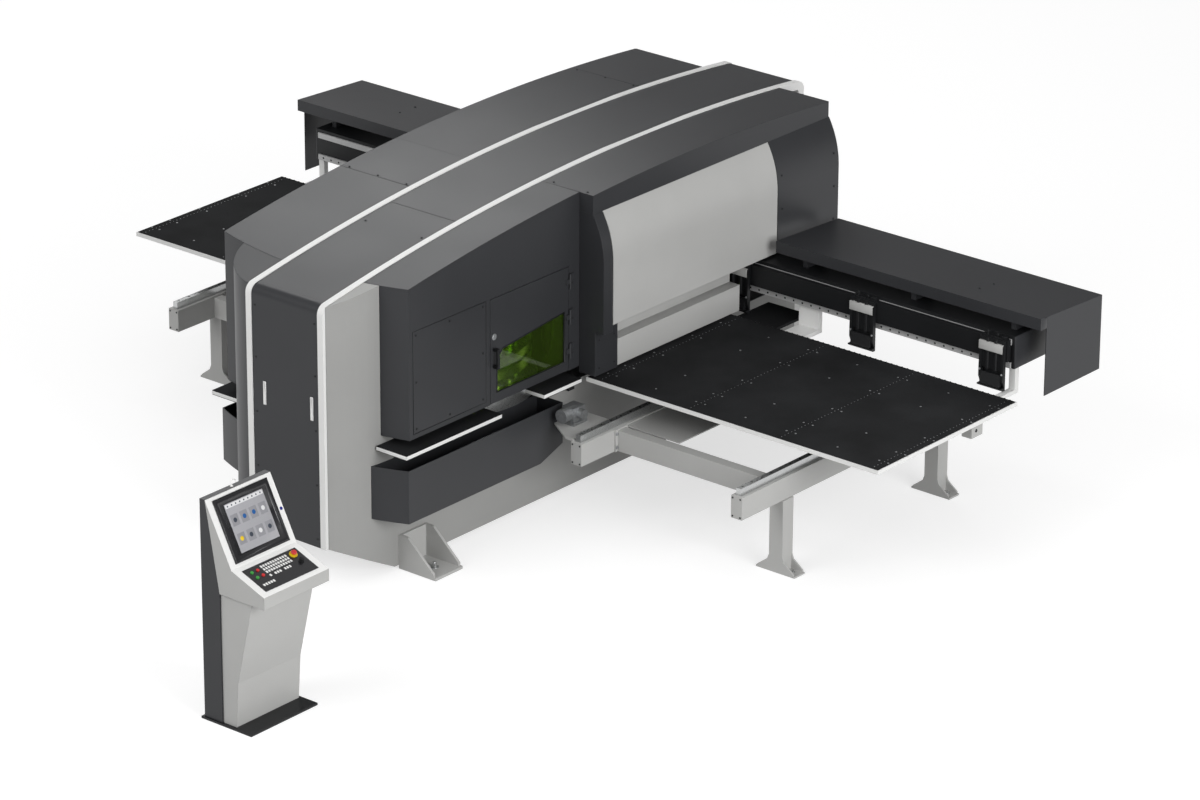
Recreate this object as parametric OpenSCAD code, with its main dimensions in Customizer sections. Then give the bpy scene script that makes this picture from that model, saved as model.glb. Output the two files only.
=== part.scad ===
// Punch and laser combination machine with side tables and an operator console
// Millimetres, +Z up, origin on the floor at the centre of the four floor anchors
// -Y is the nose, +X is the door side

/* [Floor anchors] */
// Anchor bolt pitch across the machine
anchor_pitch_x = 1580; // [1520:10:1640]
// Anchor bolt pitch along the machine
anchor_pitch_y = 3732; // [3600:4:3800]
// Anchor bolt hole diameter
anchor_d = 26; // [18:1:32]
// Foot plate length along the machine
foot_l = 268; // [220:2:300]
// Foot plate edge beyond the anchor
foot_edge = 131; // [80:1:160]
// Foot plate and gusset thickness
foot_t = 20; // [12:1:25]
// Height of the foot's back plate
foot_h = 240; // [160:5:300]

/* [Bed and bridge] */
// Bed width
bed_w = 1200; // [1160:2:1240]
// Bed front end
bed_front = -2040; // [-2060:1:-2020]
// Bed rear end
bed_rear = 2100; // [2095:1:2104]
// Height of the bed's underside above the floor
bed_clear = 25; // [10:1:50]
// Height of the bed's top
bed_top = 780; // [740:1:790]
// Bed plate thickness
bed_t = 40; // [20:1:60]
// Bridge width
bridge_w = 600; // [590:1:640]
// Height of the throat above the table surface
throat_h = 505; // [480:1:545]
// Length of the rear column
rear_col = 300; // [200:5:300]

/* [Roof and spine] */
// Sheet thickness of covers
cover_t = 6; // [3:1:10]
// Height of the roof's crown
roof_z = 2262; // [2240:1:2300]
// Place of the roof's crown along the machine
roof_y = 700; // [600:10:800]
// Radius of the roof's arc
roof_r = 17830; // [16000:10:20000]
// Offset of the spine from the machine's centre plane
spine_x = 143; // [120:1:160]
// Width of the spine between the edge strips
spine_w = 578; // [560:2:590]
// Width of an edge strip
strip_w = 46; // [40:1:60]
// Depth of an edge strip below the roof
strip_d = 54; // [50:1:56]
// Height of an edge strip above the roof
strip_proud = 6; // [2:1:10]
// Corner radius of the edge strips
strip_r = 70; // [60:1:100]
// Front face of the spine
nose_y = -2560; // [-2580:1:-2550]
// Rear face of the spine
tail_y = 2395; // [2300:1:2450]
// Height of the nose panel's lower edge
nose_z = 282; // [200:1:320]
// Where the nose flanks leave the edge strips
flank_y = -2540; // [-2545:1:-2525]

/* [Front hood] */
// Door side of the hood from the centre plane
hood_right_x = 800; // [780:1:810]
// Far side of the hood from the centre plane
hood_left_x = 815; // [800:1:830]
// Foremost point of the hood's curved front
hood_y = -2213; // [-2240:1:-2180]
// Radius of the hood's curved front
hood_r = 3000; // [2400:10:4000]
// Height of the hood's lower edge above the tables
hood_lift = 57; // [50:1:60]
// Joint between the hood and the rear covers
hood_rear = -412; // [-420:1:-405]

/* [Access door] */
// Front edge of the door opening
door_y0 = -1312; // [-1330:1:-1280]
// Rear edge of the door opening
door_y1 = -516; // [-530:1:-512]
// Depth of the door's upper edge below the roof's crown
door_drop = 527; // [480:1:600]
// Height of the door's lower edge above the hood's
door_lift = 4; // [2:1:10]
// Gap round the door
door_gap = 4; // [2:1:6]
// Door thickness
door_t = 20; // [14:1:24]
// Border between the door's edge and the window
window_rim = 62; // [50:1:90]
// Height of the window's lower edge above the door's
window_sill = 68; // [50:1:100]
// Height of the window at its front end
window_h = 296; // [240:1:320]
// Rise of the window's upper edge to the rear
window_rise = 62; // [0:1:90]
// Window pane thickness
pane_t = 8; // [4:1:12]
// Hinge pin diameter
pin_d = 10; // [6:1:12]
// Length of one hinge knuckle
knuckle_l = 36; // [24:1:48]
// Service panel's front edge
service_y0 = -2066; // [-2080:1:-2040]
// Service panel's lower edge above the hood's
service_lift = 34; // [20:1:60]

/* [Rear covers] */
// Door-side fascia from the centre plane
side_x = 918; // [910:1:930]
// Rear end of the covers
cover_rear = 2113; // [2108:1:2130]
// Depth of the fascia below the roof's crown
fascia_drop = 167; // [150:1:180]
// How far the side panels bulge past the fascia
bulge = 94; // [70:1:98]
// Height of the bulge's curved part
bulge_h = 336; // [300:1:380]
// Room between the crossbeam and the side panels
panel_clear = 20; // [12:1:40]
// Side panel thickness
panel_t = 12; // [8:1:16]
// Front edge of the side panels
panel_y0 = -312; // [-330:1:-300]
// Rear edge of the side panels
panel_y1 = 1436; // [1400:1:1460]
// Depth of the guard housing's top below the side panels
cheek_drop = 45; // [30:1:60]

/* [Throat guard] */
// Outer face of the guard from the fascia
guard_out = 2; // [0:1:6]
// Depth of the guard's recessed upper band
guard_step = 88; // [60:1:92]
// Height of the guard's lower wall
guard_h = 190; // [150:1:210]
// Room between the tables and the guard
guard_lift = 15; // [10:1:25]
// Guard sheet thickness
guard_t = 10; // [6:1:12]
// Length of the guard housing
housing_l = 232; // [200:1:234]
// Rear end of the guard
guard_y1 = 1150; // [1100:1:1160]

/* [Catch bins] */
// Outer face of the bins from the centre plane
bin_x = 827; // [815:1:840]
// Foremost reach of the bins' curved front
bin_y = -2325; // [-2345:1:-2310]
// Radius of the bins' curved front
bin_r = 2000; // [1800:10:2400]
// Rear end of the bins
bin_rear = -610; // [-660:1:-600]
// Height of the bins
bin_h = 372; // [300:1:400]
// Depth of the bins' rim below the tables
bin_drop = 135; // [125:1:160]
// Cut at the lower rear corner of the bins
bin_cut = 230; // [100:5:260]

/* [Tables] */
// Height of the table surface
table_z = 935; // [930:1:940]
// Table thickness
table_t = 32; // [24:1:34]
// Inner edge of the moving tables
table_in = 868; // [866:1:900]
// Outer edge of the moving tables
table_out = 3307; // [3200:1:3320]
// Front edge of the moving tables
table_front = -419; // [-440:1:-400]
// Rear edge of the moving tables
table_rear = 1095; // [1080:1:1110]
// Width of the tables' light rim
rim_w = 8; // [6:1:12]
// Thickness of the shelf behind the tables
shelf_t = 20; // [12:1:24]
// Reach of the shelf past the inner beam's middle
shelf_reach = 80; // [60:1:120]
// Width of the inner bracket between table and crossbeam
arm_w = 170; // [100:1:200]
// Gap between fixed and moving tables
table_gap = 6; // [3:1:7]
// Front edge of the fixed front table
fixed_front = -2204; // [-2210:1:-2190]
// Rear edge of the fixed front table
fixed_rear = -1269; // [-1300:1:-1240]
// Inner edge of the small inner tables
inner_x = 700; // [690:1:740]
// Length of the small inner tables
inner_l = 382; // [300:1:390]
// Rear edge of the small inner tables
inner_rear = -460; // [-480:1:-440]

/* [Turret and heads] */
// Distance of the turret's centre from the anchors' centre
turret_y = -890; // [-900:1:-880]
// Radius of the lower turret
turret_r = 640; // [620:1:650]
// Radius of the tool circle
tool_circle = 475; // [470:1:480]
// Thickness of the upper turret
upper_t = 150; // [120:1:160]
// Height of the punch heads above the upper turret
tool_h = 60; // [40:1:64]
// Thickness of the lower turret
lower_t = 94; // [70:1:100]
// Depth of the lower turret's top below the tables
lower_drop = 30; // [26:1:36]
// Stations in the turret
stations = 20; // [16:1:20]
// Punch holder diameter
tool_d = 104; // [80:1:110]
// Turret shaft diameter
shaft_d = 180; // [140:1:200]
// Ram diameter
ram_d = 120; // [90:1:140]
// Ram stroke
ram_stroke = 37; // [30:1:38]
// Laser head offset from the punch across the machine
laser_x = 520; // [510:1:540]
// Laser head diameter
laser_d = 84; // [70:1:90]

/* [Table beams] */
// Place of the inner beams from the centre plane
beam_in = 1163; // [1150:1:1180]
// Place of the outer beams from the centre plane
beam_out = 2515; // [2480:1:2540]
// Beam width
beam_w = 90; // [80:1:100]
// Beam height
beam_h = 158; // [130:1:165]
// Depth of the beams' top below the tables
beam_drop = 255; // [245:1:265]
// Front end of the beams
beam_front = -870; // [-880:1:-840]
// Rear end of the beams
beam_rear = 1400; // [1300:5:1500]
// Reach of the sheet tray from the inner beam's middle
tray_w = 497; // [400:1:600]
// Rear end of the sheet tray
tray_rear = 500; // [300:5:900]
// Rail width
rail_w = 40; // [30:1:45]
// Rail height
rail_h = 50; // [40:1:54]
// Height of a bearing block above the rail
block_h = 70; // [60:1:80]
// Length of a bearing block
block_l = 170; // [120:1:200]
// Pitch of the two bearing blocks on a rail
block_pitch = 220; // [205:1:300]
// Width of a cross tube
tube_w = 80; // [60:1:100]
// Distance of a cross tube in front of its leg
tube_back = 110; // [90:1:130]
// Reach of the bolt flange past the cross tube
flange_over = 24; // [16:1:30]
// Leg column width
leg_w = 110; // [90:1:120]
// Leg foot length
leg_foot = 320; // [280:1:360]
// Place of the front legs
leg_y0 = -396; // [-420:1:-380]
// Place of the rear legs
leg_y1 = 1297; // [1200:1:1310]

/* [Carriage] */
// Front face of the crossbeam
cross_y = 1290; // [1288:1:1300]
// Depth of the crossbeam
cross_d = 360; // [300:1:380]
// Height of the crossbeam's underside above the tables
cross_lift = 125; // [115:1:140]
// Height of the crossbeam
cross_h = 230; // [200:1:240]
// Half length of the crossbeam
cross_x = 3130; // [3120:1:3200]
// Crossbeam wall thickness
cross_t = 12; // [8:1:16]
// Crossbeam rail depth
xrail_d = 12; // [10:1:16]
// Crossbeam rail height
xrail_h = 40; // [24:1:46]
// Inner end of the crossbeam covers
hat_in = 1110; // [1100:1:1160]
// Outer end of the crossbeam covers
hat_out = 3330; // [3325:1:3340]
// Front face of the crossbeam covers
hat_y0 = 1302; // [1290:1:1320]
// Rear face of the crossbeam covers
hat_y1 = 2000; // [1950:1:2050]
// Height of the covers' front edge above the crossbeam
hat_lift = 172; // [150:1:190]
// Fall of the covers to the rear
hat_fall = 34; // [0:1:50]
// Height of the covers' front lip
hat_lip = 84; // [60:1:100]
// Height of the end panels
hat_end_h = 567; // [500:1:600]
// Set-back of the end panels from the lip
hat_set = 68; // [40:1:90]

/* [Clamps] */
// Place of the middle clamp
clamp_x = 1920; // [1800:1:1920]
// Distance between clamps
clamp_pitch = 1080; // [1000:1:1090]
// Clamp width
clamp_w = 200; // [150:1:215]
// Clamp reach in front of the carriage bar
clamp_reach = 44; // [40:1:60]
// Carriage bar thickness
bar_t = 36; // [30:1:40]
// Carriage bar height
bar_h = 150; // [120:1:158]

/* [Console] */
// Centre of the console along the machine
desk_y = -4160; // [-4300:5:-4100]
// Rear face of the console
desk_x = 1190; // [1170:1:1250]
// Console width
desk_w = 580; // [540:1:620]
// Console height
desk_h = 1480; // [1400:1:1520]
// Floor plate thickness
plate_t = 15; // [10:1:20]
// Depth of the console's dark rear column
column_d = 151; // [130:1:170]
// Depth of the desk in front of the screen
shelf_d = 268; // [250:1:290]
// Height of the desk at the screen's foot
shelf_z = 1070; // [1040:1:1090]
// Push button diameter
button_d = 22; // [18:1:26]
// Emergency stop diameter
estop_d = 40; // [34:1:46]
// Diameter of the feed knob
knob_d = 34; // [28:1:40]

/* [Hidden] */
$fn = 64;

run_gap = 0.3;
fit_gap = 0.05;
cover_gap = 0.9;
cut = 1;
charcoal = [0.24, 0.25, 0.27];
coal = [0.11, 0.115, 0.125];
silver_paint = [0.7, 0.7, 0.69];
rim_white = [0.9, 0.9, 0.89];
steel = [0.62, 0.63, 0.65];
soot = [0.06, 0.06, 0.065];
stop_red = [0.8, 0.05, 0.05];
stop_yellow = [0.93, 0.78, 0.05];
go_green = [0.15, 0.6, 0.15];

strip_in = spine_w / 2;
strip_out = strip_in + strip_w;
strip_right = spine_x + strip_out;
strip_left = strip_out - spine_x;
bed_x = bed_w / 2;
throat_top = table_z + throat_h;
hood_z = table_z + hood_lift;
door_z1 = roof_z - door_drop;
service_z0 = hood_z + service_lift;
fascia_z = roof_z - fascia_drop;
bulge_z = fascia_z - bulge_h;
cross_z0 = table_z + cross_lift;
cross_z1 = cross_z0 + cross_h;
panel_z = cross_z1 + panel_clear;
cheek_z = panel_z - cheek_drop;
guard_z = table_z + guard_lift;
guard_ledge = guard_z + guard_h;
housing_y1 = hood_rear + housing_l;
bin_z1 = table_z - bin_drop;
bin_z0 = bin_z1 - bin_h;
beam_z = table_z - beam_drop;
hat_z = cross_z1 + hat_lift;
hat_end_z = hat_z - hat_end_h;
bridge_front = nose_y + strip_d + strip_r / 3;
hood_turn = asin((roof_y - hood_rear) / roof_r);
front_turn = 0.953 * hood_turn;
turret_under = hood_z + 18;
door_z0 = hood_z + door_lift;
hinge_x = hood_right_x + pin_d * 0.9;
hinge_y = door_y1 + door_gap / 2;
service_y1 = door_y0 - 40;
punch_y = turret_y + tool_circle;
upper_r = turret_r - 40;
tool_top = turret_under + upper_t + tool_h;
ram_face = tool_top + ram_stroke + 3;
lower_top = table_z - lower_drop;
rail_top = beam_z + rail_h;
frame_z = table_z - table_t;
guard_x = side_x + guard_out;
bar_y1 = cross_y - xrail_d - run_gap;
bar_y0 = bar_y1 - bar_t;
bar_z1 = cross_z1 - 24;
sheet_z = table_z;
jaw_y = bar_y0 - clamp_reach;
pivot_y = bar_y0 - 14;
pivot_z = sheet_z + 70;
screen_rake = 212;
screen_x0 = desk_x + 43;
screen_x1 = screen_x0 + screen_rake;
screen_drop = desk_h - shelf_z;
screen_angle = atan2(screen_drop, screen_rake);
screen_l = norm([screen_drop, screen_rake]);
shelf_fall = 103;
shelf_angle = atan2(shelf_fall, shelf_d);
shelf_l = norm([shelf_fall, shelf_d]);
lip_h = 82;
under_z = shelf_z - shelf_fall - lip_h;
body_x1 = screen_x1 + shelf_d - 112;
pad_t = 3;
pad_s0 = 36;
pad_l = 214;
pad_w = desk_w - 110;
button_in = 14;
stop_box_y = 741;

// Height of the roof at a place along the machine
function roof_at(y) = roof_z - roof_r + sqrt(pow(roof_r, 2) - pow(y - roof_y, 2));

// Radius of an arc that leaves a tangent line by a run and ends a rise away from it
function arc_r(run, rise) = (pow(run, 2) + pow(rise, 2)) / (2 * rise);

module along_x(x0, x1)
  translate([x0, 0, 0]) rotate([90, 0, 90]) linear_extrude(x1 - x0) children();

module along_y(y0, y1)
  translate([0, y1, 0]) rotate([90, 0, 0]) linear_extrude(y1 - y0) children();

module block(lo, hi) translate(lo) cube(hi - lo);

module mirrored() {
  children();
  mirror([1, 0, 0]) children();
}

// Roof disc seen from the side, lowered by a depth, and turned so that a corner of its polygon suits the
// front
module roof_disc(down, turn = 0)
  translate([roof_y, roof_z - roof_r]) rotate(turn) circle(roof_r - down, $fn = 256);

// Side view of the roof between two places, above a height, lowered by a depth
module roof_slab(y0, y1, z0, down, turn = 0)
  intersection() {
    roof_disc(down, turn);
    translate([y0, z0]) square([y1 - y0, roof_z - z0 + cut]);
  }

// Corner of the side view that a strip's rounding cuts away
module roof_corner(y_end, inward, down, r) {
  cy = y_end + inward * r;
  reach = roof_r - down;
  cz = roof_z - roof_r + sqrt(pow(reach - r, 2) - pow(cy - roof_y, 2));
  ty = roof_y + (cy - roof_y) * (reach + r) / (reach - r);
  tz = roof_z - roof_r + (cz - roof_z + roof_r) * (reach + r) / (reach - r);
  difference() {
    polygon([[cy, cz], [y_end - inward * r, cz], [y_end - inward * r, tz], [ty, tz]]);
    translate([cy, cz]) circle(r);
  }
}

// Rounded side view of the spine, grown outwards by a margin
module spine_side(grow, r, turn = 0)
  difference() {
    roof_slab(nose_y - grow, tail_y + grow, nose_z, -grow, turn);
    roof_corner(nose_y - grow, 1, -grow, r);
    roof_corner(tail_y + grow, -1, -grow, r);
  }

// Section of the bulged side cover, drawn inside its outer face
module bulge_section(x0, z0, down) {
  r = arc_r(fascia_z - bulge_z, bulge);
  translate([x0, z0]) square([side_x + bulge - down - x0, bulge_z - z0]);
  intersection() {
    translate([side_x + bulge - r, bulge_z]) circle(r - down, $fn = 128);
    translate([x0, bulge_z - cut]) square([side_x + bulge - x0, fascia_z - bulge_z + cut]);
  }
}

module bulge_skin(z0, t)
  difference() {
    bulge_section(side_x - panel_t, z0, 0);
    bulge_section(side_x - panel_t - cut, z0 - cut, t);
  }

// Copies a right rear cover to the narrower left side
module left_rear() translate([side_x - hood_left_x, 0, 0]) mirror([1, 0, 0]) children();

// Welded bed, open below, with the lower turret's bearing bore
module bed_frame() color(silver_paint)
  difference() {
    block([-bed_x, bed_front, bed_clear], [bed_x, bed_rear, bed_top]);
    block([bed_t - bed_x, bed_front + bed_t, bed_clear - cut],
          [bed_x - bed_t, bed_rear - bed_t, bed_top - bed_t]);
    translate([0, turret_y, bed_top - bed_t - cut]) cylinder(d = shaft_d + 20, h = bed_t + 2 * cut);
    translate([0, punch_y, bed_top - bed_t - cut]) cylinder(d = tool_d, h = bed_t + 2 * cut);
  }

// Bridge over the throat: nose column, top beam and rear column
module bridge_frame() color(silver_paint)
  difference() {
    along_x(spine_x - bridge_w / 2, spine_x + bridge_w / 2)
      intersection() {
        polygon([
          [bridge_front, nose_z + 20], [bed_front, nose_z + 20], [bed_front, throat_top],
          [bed_rear - rear_col, throat_top], [bed_rear - rear_col, bed_top], [bed_rear - 10, bed_top],
          [bed_rear - 10, roof_z], [bridge_front, roof_z]
        ]);
        roof_disc(strip_d + cover_gap);
      }
    translate([0, turret_y, throat_top - cut]) cylinder(d = shaft_d + 20, h = 200);
    translate([0, punch_y, throat_top - cut]) cylinder(d = ram_d + 20, h = 200);
  }

// One floor foot with its gussets
module floor_foot() {
  x1 = anchor_pitch_x / 2 + foot_edge;
  translate([0, anchor_pitch_y / 2, 0]) {
    difference() {
      block([bed_x, -foot_l / 2, 0], [x1, foot_l / 2, foot_t]);
      translate([anchor_pitch_x / 2, 0, -cut]) cylinder(d = anchor_d, h = foot_t + 2 * cut);
    }
    block([bed_x, -foot_l / 2, foot_t], [bed_x + foot_t, foot_l / 2, foot_h]);
    for (y = [-foot_l / 2, foot_l / 2 - foot_t])
      along_y(y, y + foot_t)
        polygon([
          [bed_x + foot_t, foot_t], [x1 - foot_t, foot_t], [x1 - foot_t, foot_t * 2],
          [bed_x + foot_t * 4, foot_h], [bed_x + foot_t, foot_h]
        ]);
  }
}

module floor_feet() color(silver_paint)
  mirrored() {
    floor_foot();
    mirror([0, 1, 0]) floor_foot();
  }

// Bent sheet of the spine between two places along the machine
module spine_sheet(y0, y1, turn = 0)
  along_x(spine_x - strip_in, spine_x + strip_in)
    intersection() {
      difference() {
        spine_side(0, strip_r - strip_proud, turn);
        spine_side(-cover_t, strip_r - strip_proud - cover_t, turn);
        translate([nose_y + cover_t, 0]) square([tail_y - nose_y - 2 * cover_t, nose_z + cut]);
      }
      translate([y0, 0]) square([y1 - y0, roof_z + cut]);
    }

module nose_panel() color(charcoal) spine_sheet(nose_y, nose_y + strip_r, front_turn);

// Top and tail of the spine, one bent sheet
module spine_cover() color(charcoal) spine_sheet(nose_y + strip_r, tail_y);

module edge_strip(x0)
  along_x(x0, x0 + strip_w)
    difference() {
      spine_side(strip_proud, strip_r);
      spine_side(-strip_d, strip_r - strip_d + cut);
      translate([nose_y + strip_d, 0]) square([tail_y - nose_y - 2 * strip_d, nose_z + cut]);
    }

module edge_strips() color(rim_white) {
  edge_strip(spine_x + strip_in);
  edge_strip(spine_x - strip_out);
}

// Plan of the nose's curved flank, grown outwards by a margin
module flank_disc(strip_face, grow) {
  r = arc_r(bed_front - flank_y, bed_x - strip_face);
  translate([bed_x - r, bed_front]) circle(r + grow, $fn = 128);
}

module hood_disc(down) translate([0, hood_y + hood_r]) circle(hood_r - down, $fn = 256);

// Curved flank from an edge strip back to the bed's corner, closed on top
module nose_flank(strip_face)
  difference() {
    intersection() {
      linear_extrude(roof_z)
        intersection() {
          flank_disc(strip_face, 0);
          translate([strip_face, flank_y]) square([bed_x - strip_face, bed_front - flank_y]);
        }
      along_x(strip_face - cut, bed_x + cut)
        intersection() {
          roof_disc(0, front_turn);
          polygon([[flank_y - cut, nose_z], [bed_front, bed_clear], [bed_front, roof_z],
            [flank_y - cut, roof_z]]);
        }
    }
    intersection() {
      translate([0, 0, -cut]) linear_extrude(roof_z) flank_disc(strip_face, -cover_t);
      along_x(strip_face - cut, bed_x + cut)
        roof_slab(flank_y - cut, bed_front + cut, -cut, cover_t, front_turn);
    }
    translate([0, 0, hood_z - run_gap]) linear_extrude(roof_z) hood_disc(-run_gap);
  }

// Nose flanks, and the flat sheets that close the spine's tail
module spine_flanks() color(silver_paint) {
  nose_flank(strip_right);
  mirror([1, 0, 0]) nose_flank(strip_left);
  for (x = [-strip_left, strip_right - cover_t])
    along_x(x, x + cover_t)
      roof_slab(cover_rear, tail_y - strip_d, nose_z, strip_d + strip_r / 3);
}

module hood_plan(x0, x1, down)
  intersection() {
    hood_disc(down);
    translate([x0, hood_y]) square([x1 - x0, hood_rear - hood_y]);
  }

// Front hood shell between an edge strip and its outer face, open below and behind
module hood_shell(x0, x1)
  difference() {
    intersection() {
      translate([0, 0, hood_z]) linear_extrude(roof_z - hood_z) hood_plan(x0, x1, 0);
      along_x(x0, x1) roof_slab(hood_y, hood_rear, hood_z, 0, hood_turn);
    }
    intersection() {
      translate([0, cut, hood_z - cut]) linear_extrude(roof_z - hood_z)
        hood_plan(x0 - cut, x1 - cover_t, cover_t);
      along_x(x0 - cut, x1) roof_slab(hood_y, hood_rear + cut, hood_z - cut, cover_t, hood_turn);
    }
  }

module hood_right() color(charcoal)
  difference() {
    hood_shell(strip_right, hood_right_x);
    block([hood_right_x - 2 * cover_t, door_y0, hood_z - cut], [hood_right_x + cut, door_y1, door_z1]);
    block([hood_right_x - 2 * cover_t, service_y0, service_z0], [hood_right_x + cut, service_y1, door_z1]);
  }

module hood_left() color(charcoal) mirror([1, 0, 0]) hood_shell(strip_left, hood_left_x);

// Service panel, a tray pressed into the hood's side
module service_panel() color(charcoal)
  difference() {
    block([hood_right_x - 4 * cover_t, service_y0, service_z0], [hood_right_x, service_y1, door_z1]);
    block([hood_right_x - 4 * cover_t - cut, service_y0 + cover_t, service_z0 + cover_t],
          [hood_right_x - cover_t, service_y1 - cover_t, door_z1 - cover_t]);
  }

// Rear roof with its fascia and front bulkhead
module rear_roof(x0, x1)
  difference() {
    along_x(x0, x1) roof_slab(hood_rear, cover_rear, fascia_z, 0);
    along_x(x0 - cut, x1 - cover_t)
      roof_slab(hood_rear + cover_t, cover_rear + cut, fascia_z - cut, cover_t);
  }

module roof_right() color(charcoal) rear_roof(strip_right, side_x);

module roof_left() color(charcoal) mirror([1, 0, 0]) rear_roof(strip_left, hood_left_x);

// Front end of a bulged side cover
module cheek(x0)
  difference() {
    along_y(hood_rear, panel_y0 - cover_t) bulge_section(x0, cheek_z, 0);
    along_y(hood_rear + cover_t, panel_y0) bulge_section(x0 - cut, cheek_z - cut, cover_t);
  }

module cheeks() color(charcoal) {
  cheek(hood_right_x);
  left_rear() cheek(side_x - panel_t);
}

module side_panel() along_y(panel_y0, panel_y1) bulge_skin(panel_z, panel_t);

module side_panels() color(silver_paint) {
  side_panel();
  left_rear() side_panel();
}

module rear_panel() along_y(panel_y1 + cover_t, cover_rear) bulge_skin(panel_z, cover_t + 2);

module rear_panels() color(charcoal) {
  rear_panel();
  left_rear() rear_panel();
}

// Back wall behind the rear covers
module back_wall() color(charcoal)
  along_y(cover_rear, cover_rear + cover_t)
    difference() {
      union() {
        translate([cover_t - hood_left_x, bed_top])
          square([hood_left_x + side_x - 2 * cover_t, roof_at(cover_rear) - bed_top]);
        bulge_section(0, panel_z, 0);
        translate([side_x - hood_left_x, 0]) mirror([1, 0]) bulge_section(0, panel_z, 0);
      }
      translate([spine_x - strip_out, 0]) square([2 * strip_out, roof_z + cut]);
    }

// Housing that takes up the throat guard
module guard_housing(x0)
  difference() {
    block([x0, hood_rear, guard_z], [guard_x + 2 * guard_t, housing_y1, cheek_z]);
    block([x0 + cover_t, hood_rear + cover_t, guard_z + cover_t],
          [guard_x + 2 * guard_t - cover_t, housing_y1 + cut, cheek_z - cover_t]);
  }

module guard_housings() color(charcoal) {
  guard_housing(hood_right_x);
  left_rear() guard_housing(hood_right_x);
}

// Retracting throat guard, a stepped sheet along the throat
module throat_guard()
  along_y(housing_y1, guard_y1)
    polygon([
      [guard_x, guard_z], [guard_x, guard_ledge], [guard_x - guard_step, guard_ledge],
      [guard_x - guard_step, panel_z - guard_t], [guard_x - guard_step - guard_t, panel_z - guard_t],
      [guard_x - guard_step - guard_t, guard_ledge - guard_t], [guard_x - guard_t, guard_ledge - guard_t],
      [guard_x - guard_t, guard_z]
    ]);

module throat_guards() color(silver_paint) {
  throat_guard();
  left_rear() throat_guard();
}

module bin_plan(x0, x1, y1, down)
  intersection() {
    translate([0, bin_y + bin_r]) circle(bin_r - down, $fn = 256);
    translate([x0, bin_y]) square([x1 - x0, y1 - bin_y]);
  }

// Outside of the nose at the bins' height, so that a bin starts at the flank
module nose_plan(strip_face, grow) {
  flank_disc(strip_face, grow);
  translate([0, bed_front]) square([bed_x + grow, bin_rear - bed_front + cut]);
}

// Wedge under the bin's sloped rear end, raised by a thickness
module bin_slope(up)
  along_x(0, bin_x + cut)
    polygon([
      [bin_rear - bin_cut, bin_z0 - 2 * cut], [bin_rear + cut, bin_z0 - 2 * cut],
      [bin_rear + cut, bin_z0 + bin_cut * 0.35 + up], [bin_rear - bin_cut, bin_z0 - cut + up]
    ]);

// Open catch bin hung along the bed's side
module catch_bin(strip_face)
  difference() {
    translate([0, 0, bin_z0]) linear_extrude(bin_z1 - bin_z0) bin_plan(strip_face, bin_x, bin_rear, 0);
    difference() {
      translate([0, 0, bin_z0 + cover_t]) linear_extrude(bin_z1)
        difference() {
          bin_plan(strip_face - cut, bin_x - cover_t, bin_rear - cover_t, cover_t);
          nose_plan(strip_face, run_gap + cover_t);
        }
      bin_slope(cover_t * 1.1);
    }
    translate([0, 0, bin_z0 - cut]) linear_extrude(bin_z1) nose_plan(strip_face, run_gap);
    bin_slope(0);
  }

module catch_bins() color(charcoal) {
  catch_bin(strip_right);
  mirror([1, 0, 0]) catch_bin(strip_left);
}

// Fixed tables round the turret, on posts from the bed
module fixed_tables() color(soot) {
  x1 = table_in - table_gap;
  post = 60;
  translate([0, 0, frame_z]) linear_extrude(table_t)
    difference() {
      translate([-x1, fixed_front]) square([2 * x1, fixed_rear - fixed_front]);
      translate([-bed_x, fixed_front - cut]) square([2 * bed_x, bed_front - fixed_front + cut]);
      translate([0, turret_y]) circle(turret_r + 10, $fn = 128);
    }
  mirrored() {
    block([bed_x - 2 * post, fixed_rear - 4 * post, bed_top],
          [bed_x - post, fixed_rear - 3 * post, frame_z]);
    block([bed_x - 2 * post, bed_front + 2 * post, bed_top], [bed_x - post, bed_front + 3 * post, frame_z]);
    block([inner_x, inner_rear - inner_l, frame_z], [x1, inner_rear, table_z]);
    block([bed_x - post, inner_rear - post, bed_top], [bed_x, inner_rear, frame_z - post]);
    block([bed_x - post, inner_rear - post, frame_z - post], [x1 - post, inner_rear, frame_z]);
  }
}

module ring(d0, d1, h)
  difference() {
    cylinder(d = d1, h = h);
    translate([0, 0, -cut]) cylinder(d = d0, h = h + 2 * cut);
  }

// Bearing rings of the two turret shafts, and the ram's guide cylinder
module head_bearings() color(steel) {
  translate([0, turret_y, 0]) {
    translate([0, 0, throat_top - 90]) ring(shaft_d + 2 * fit_gap, shaft_d + 140, 90);
    translate([0, 0, bed_top])
      ring(shaft_d + 2 * fit_gap, shaft_d + 100, lower_top - lower_t - bed_top - run_gap);
  }
  translate([0, punch_y, ram_face + 30])
    ring(ram_d + 2 * fit_gap, ram_d + 90, throat_top - ram_face - 30);
}

// Arm from the bridge to the laser head, with its guide bore
module laser_bracket() color(steel)
  difference() {
    x0 = spine_x + bridge_w / 2;
    union() {
      block([x0, punch_y - laser_d, throat_top], [laser_x, punch_y + laser_d, throat_top + 120]);
      translate([laser_x, punch_y, throat_top - 60]) cylinder(d = laser_d + 60, h = 180);
    }
    block([x0 - laser_d, punch_y - 2 * laser_d, throat_top - 100],
          [x0, punch_y + 2 * laser_d, throat_top + 200]);
    translate([laser_x, punch_y, throat_top - 100]) cylinder(d = laser_d + 2 * fit_gap, h = 300);
  }

module beam(x)
  difference() {
    block([x - beam_w / 2, beam_front, beam_z - beam_h], [x + beam_w / 2, beam_rear, beam_z]);
    block([x - beam_w / 2 + 8, beam_front + 8, beam_z - beam_h + 8],
          [x + beam_w / 2 - 8, beam_rear + cut, beam_z - 8]);
  }

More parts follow.
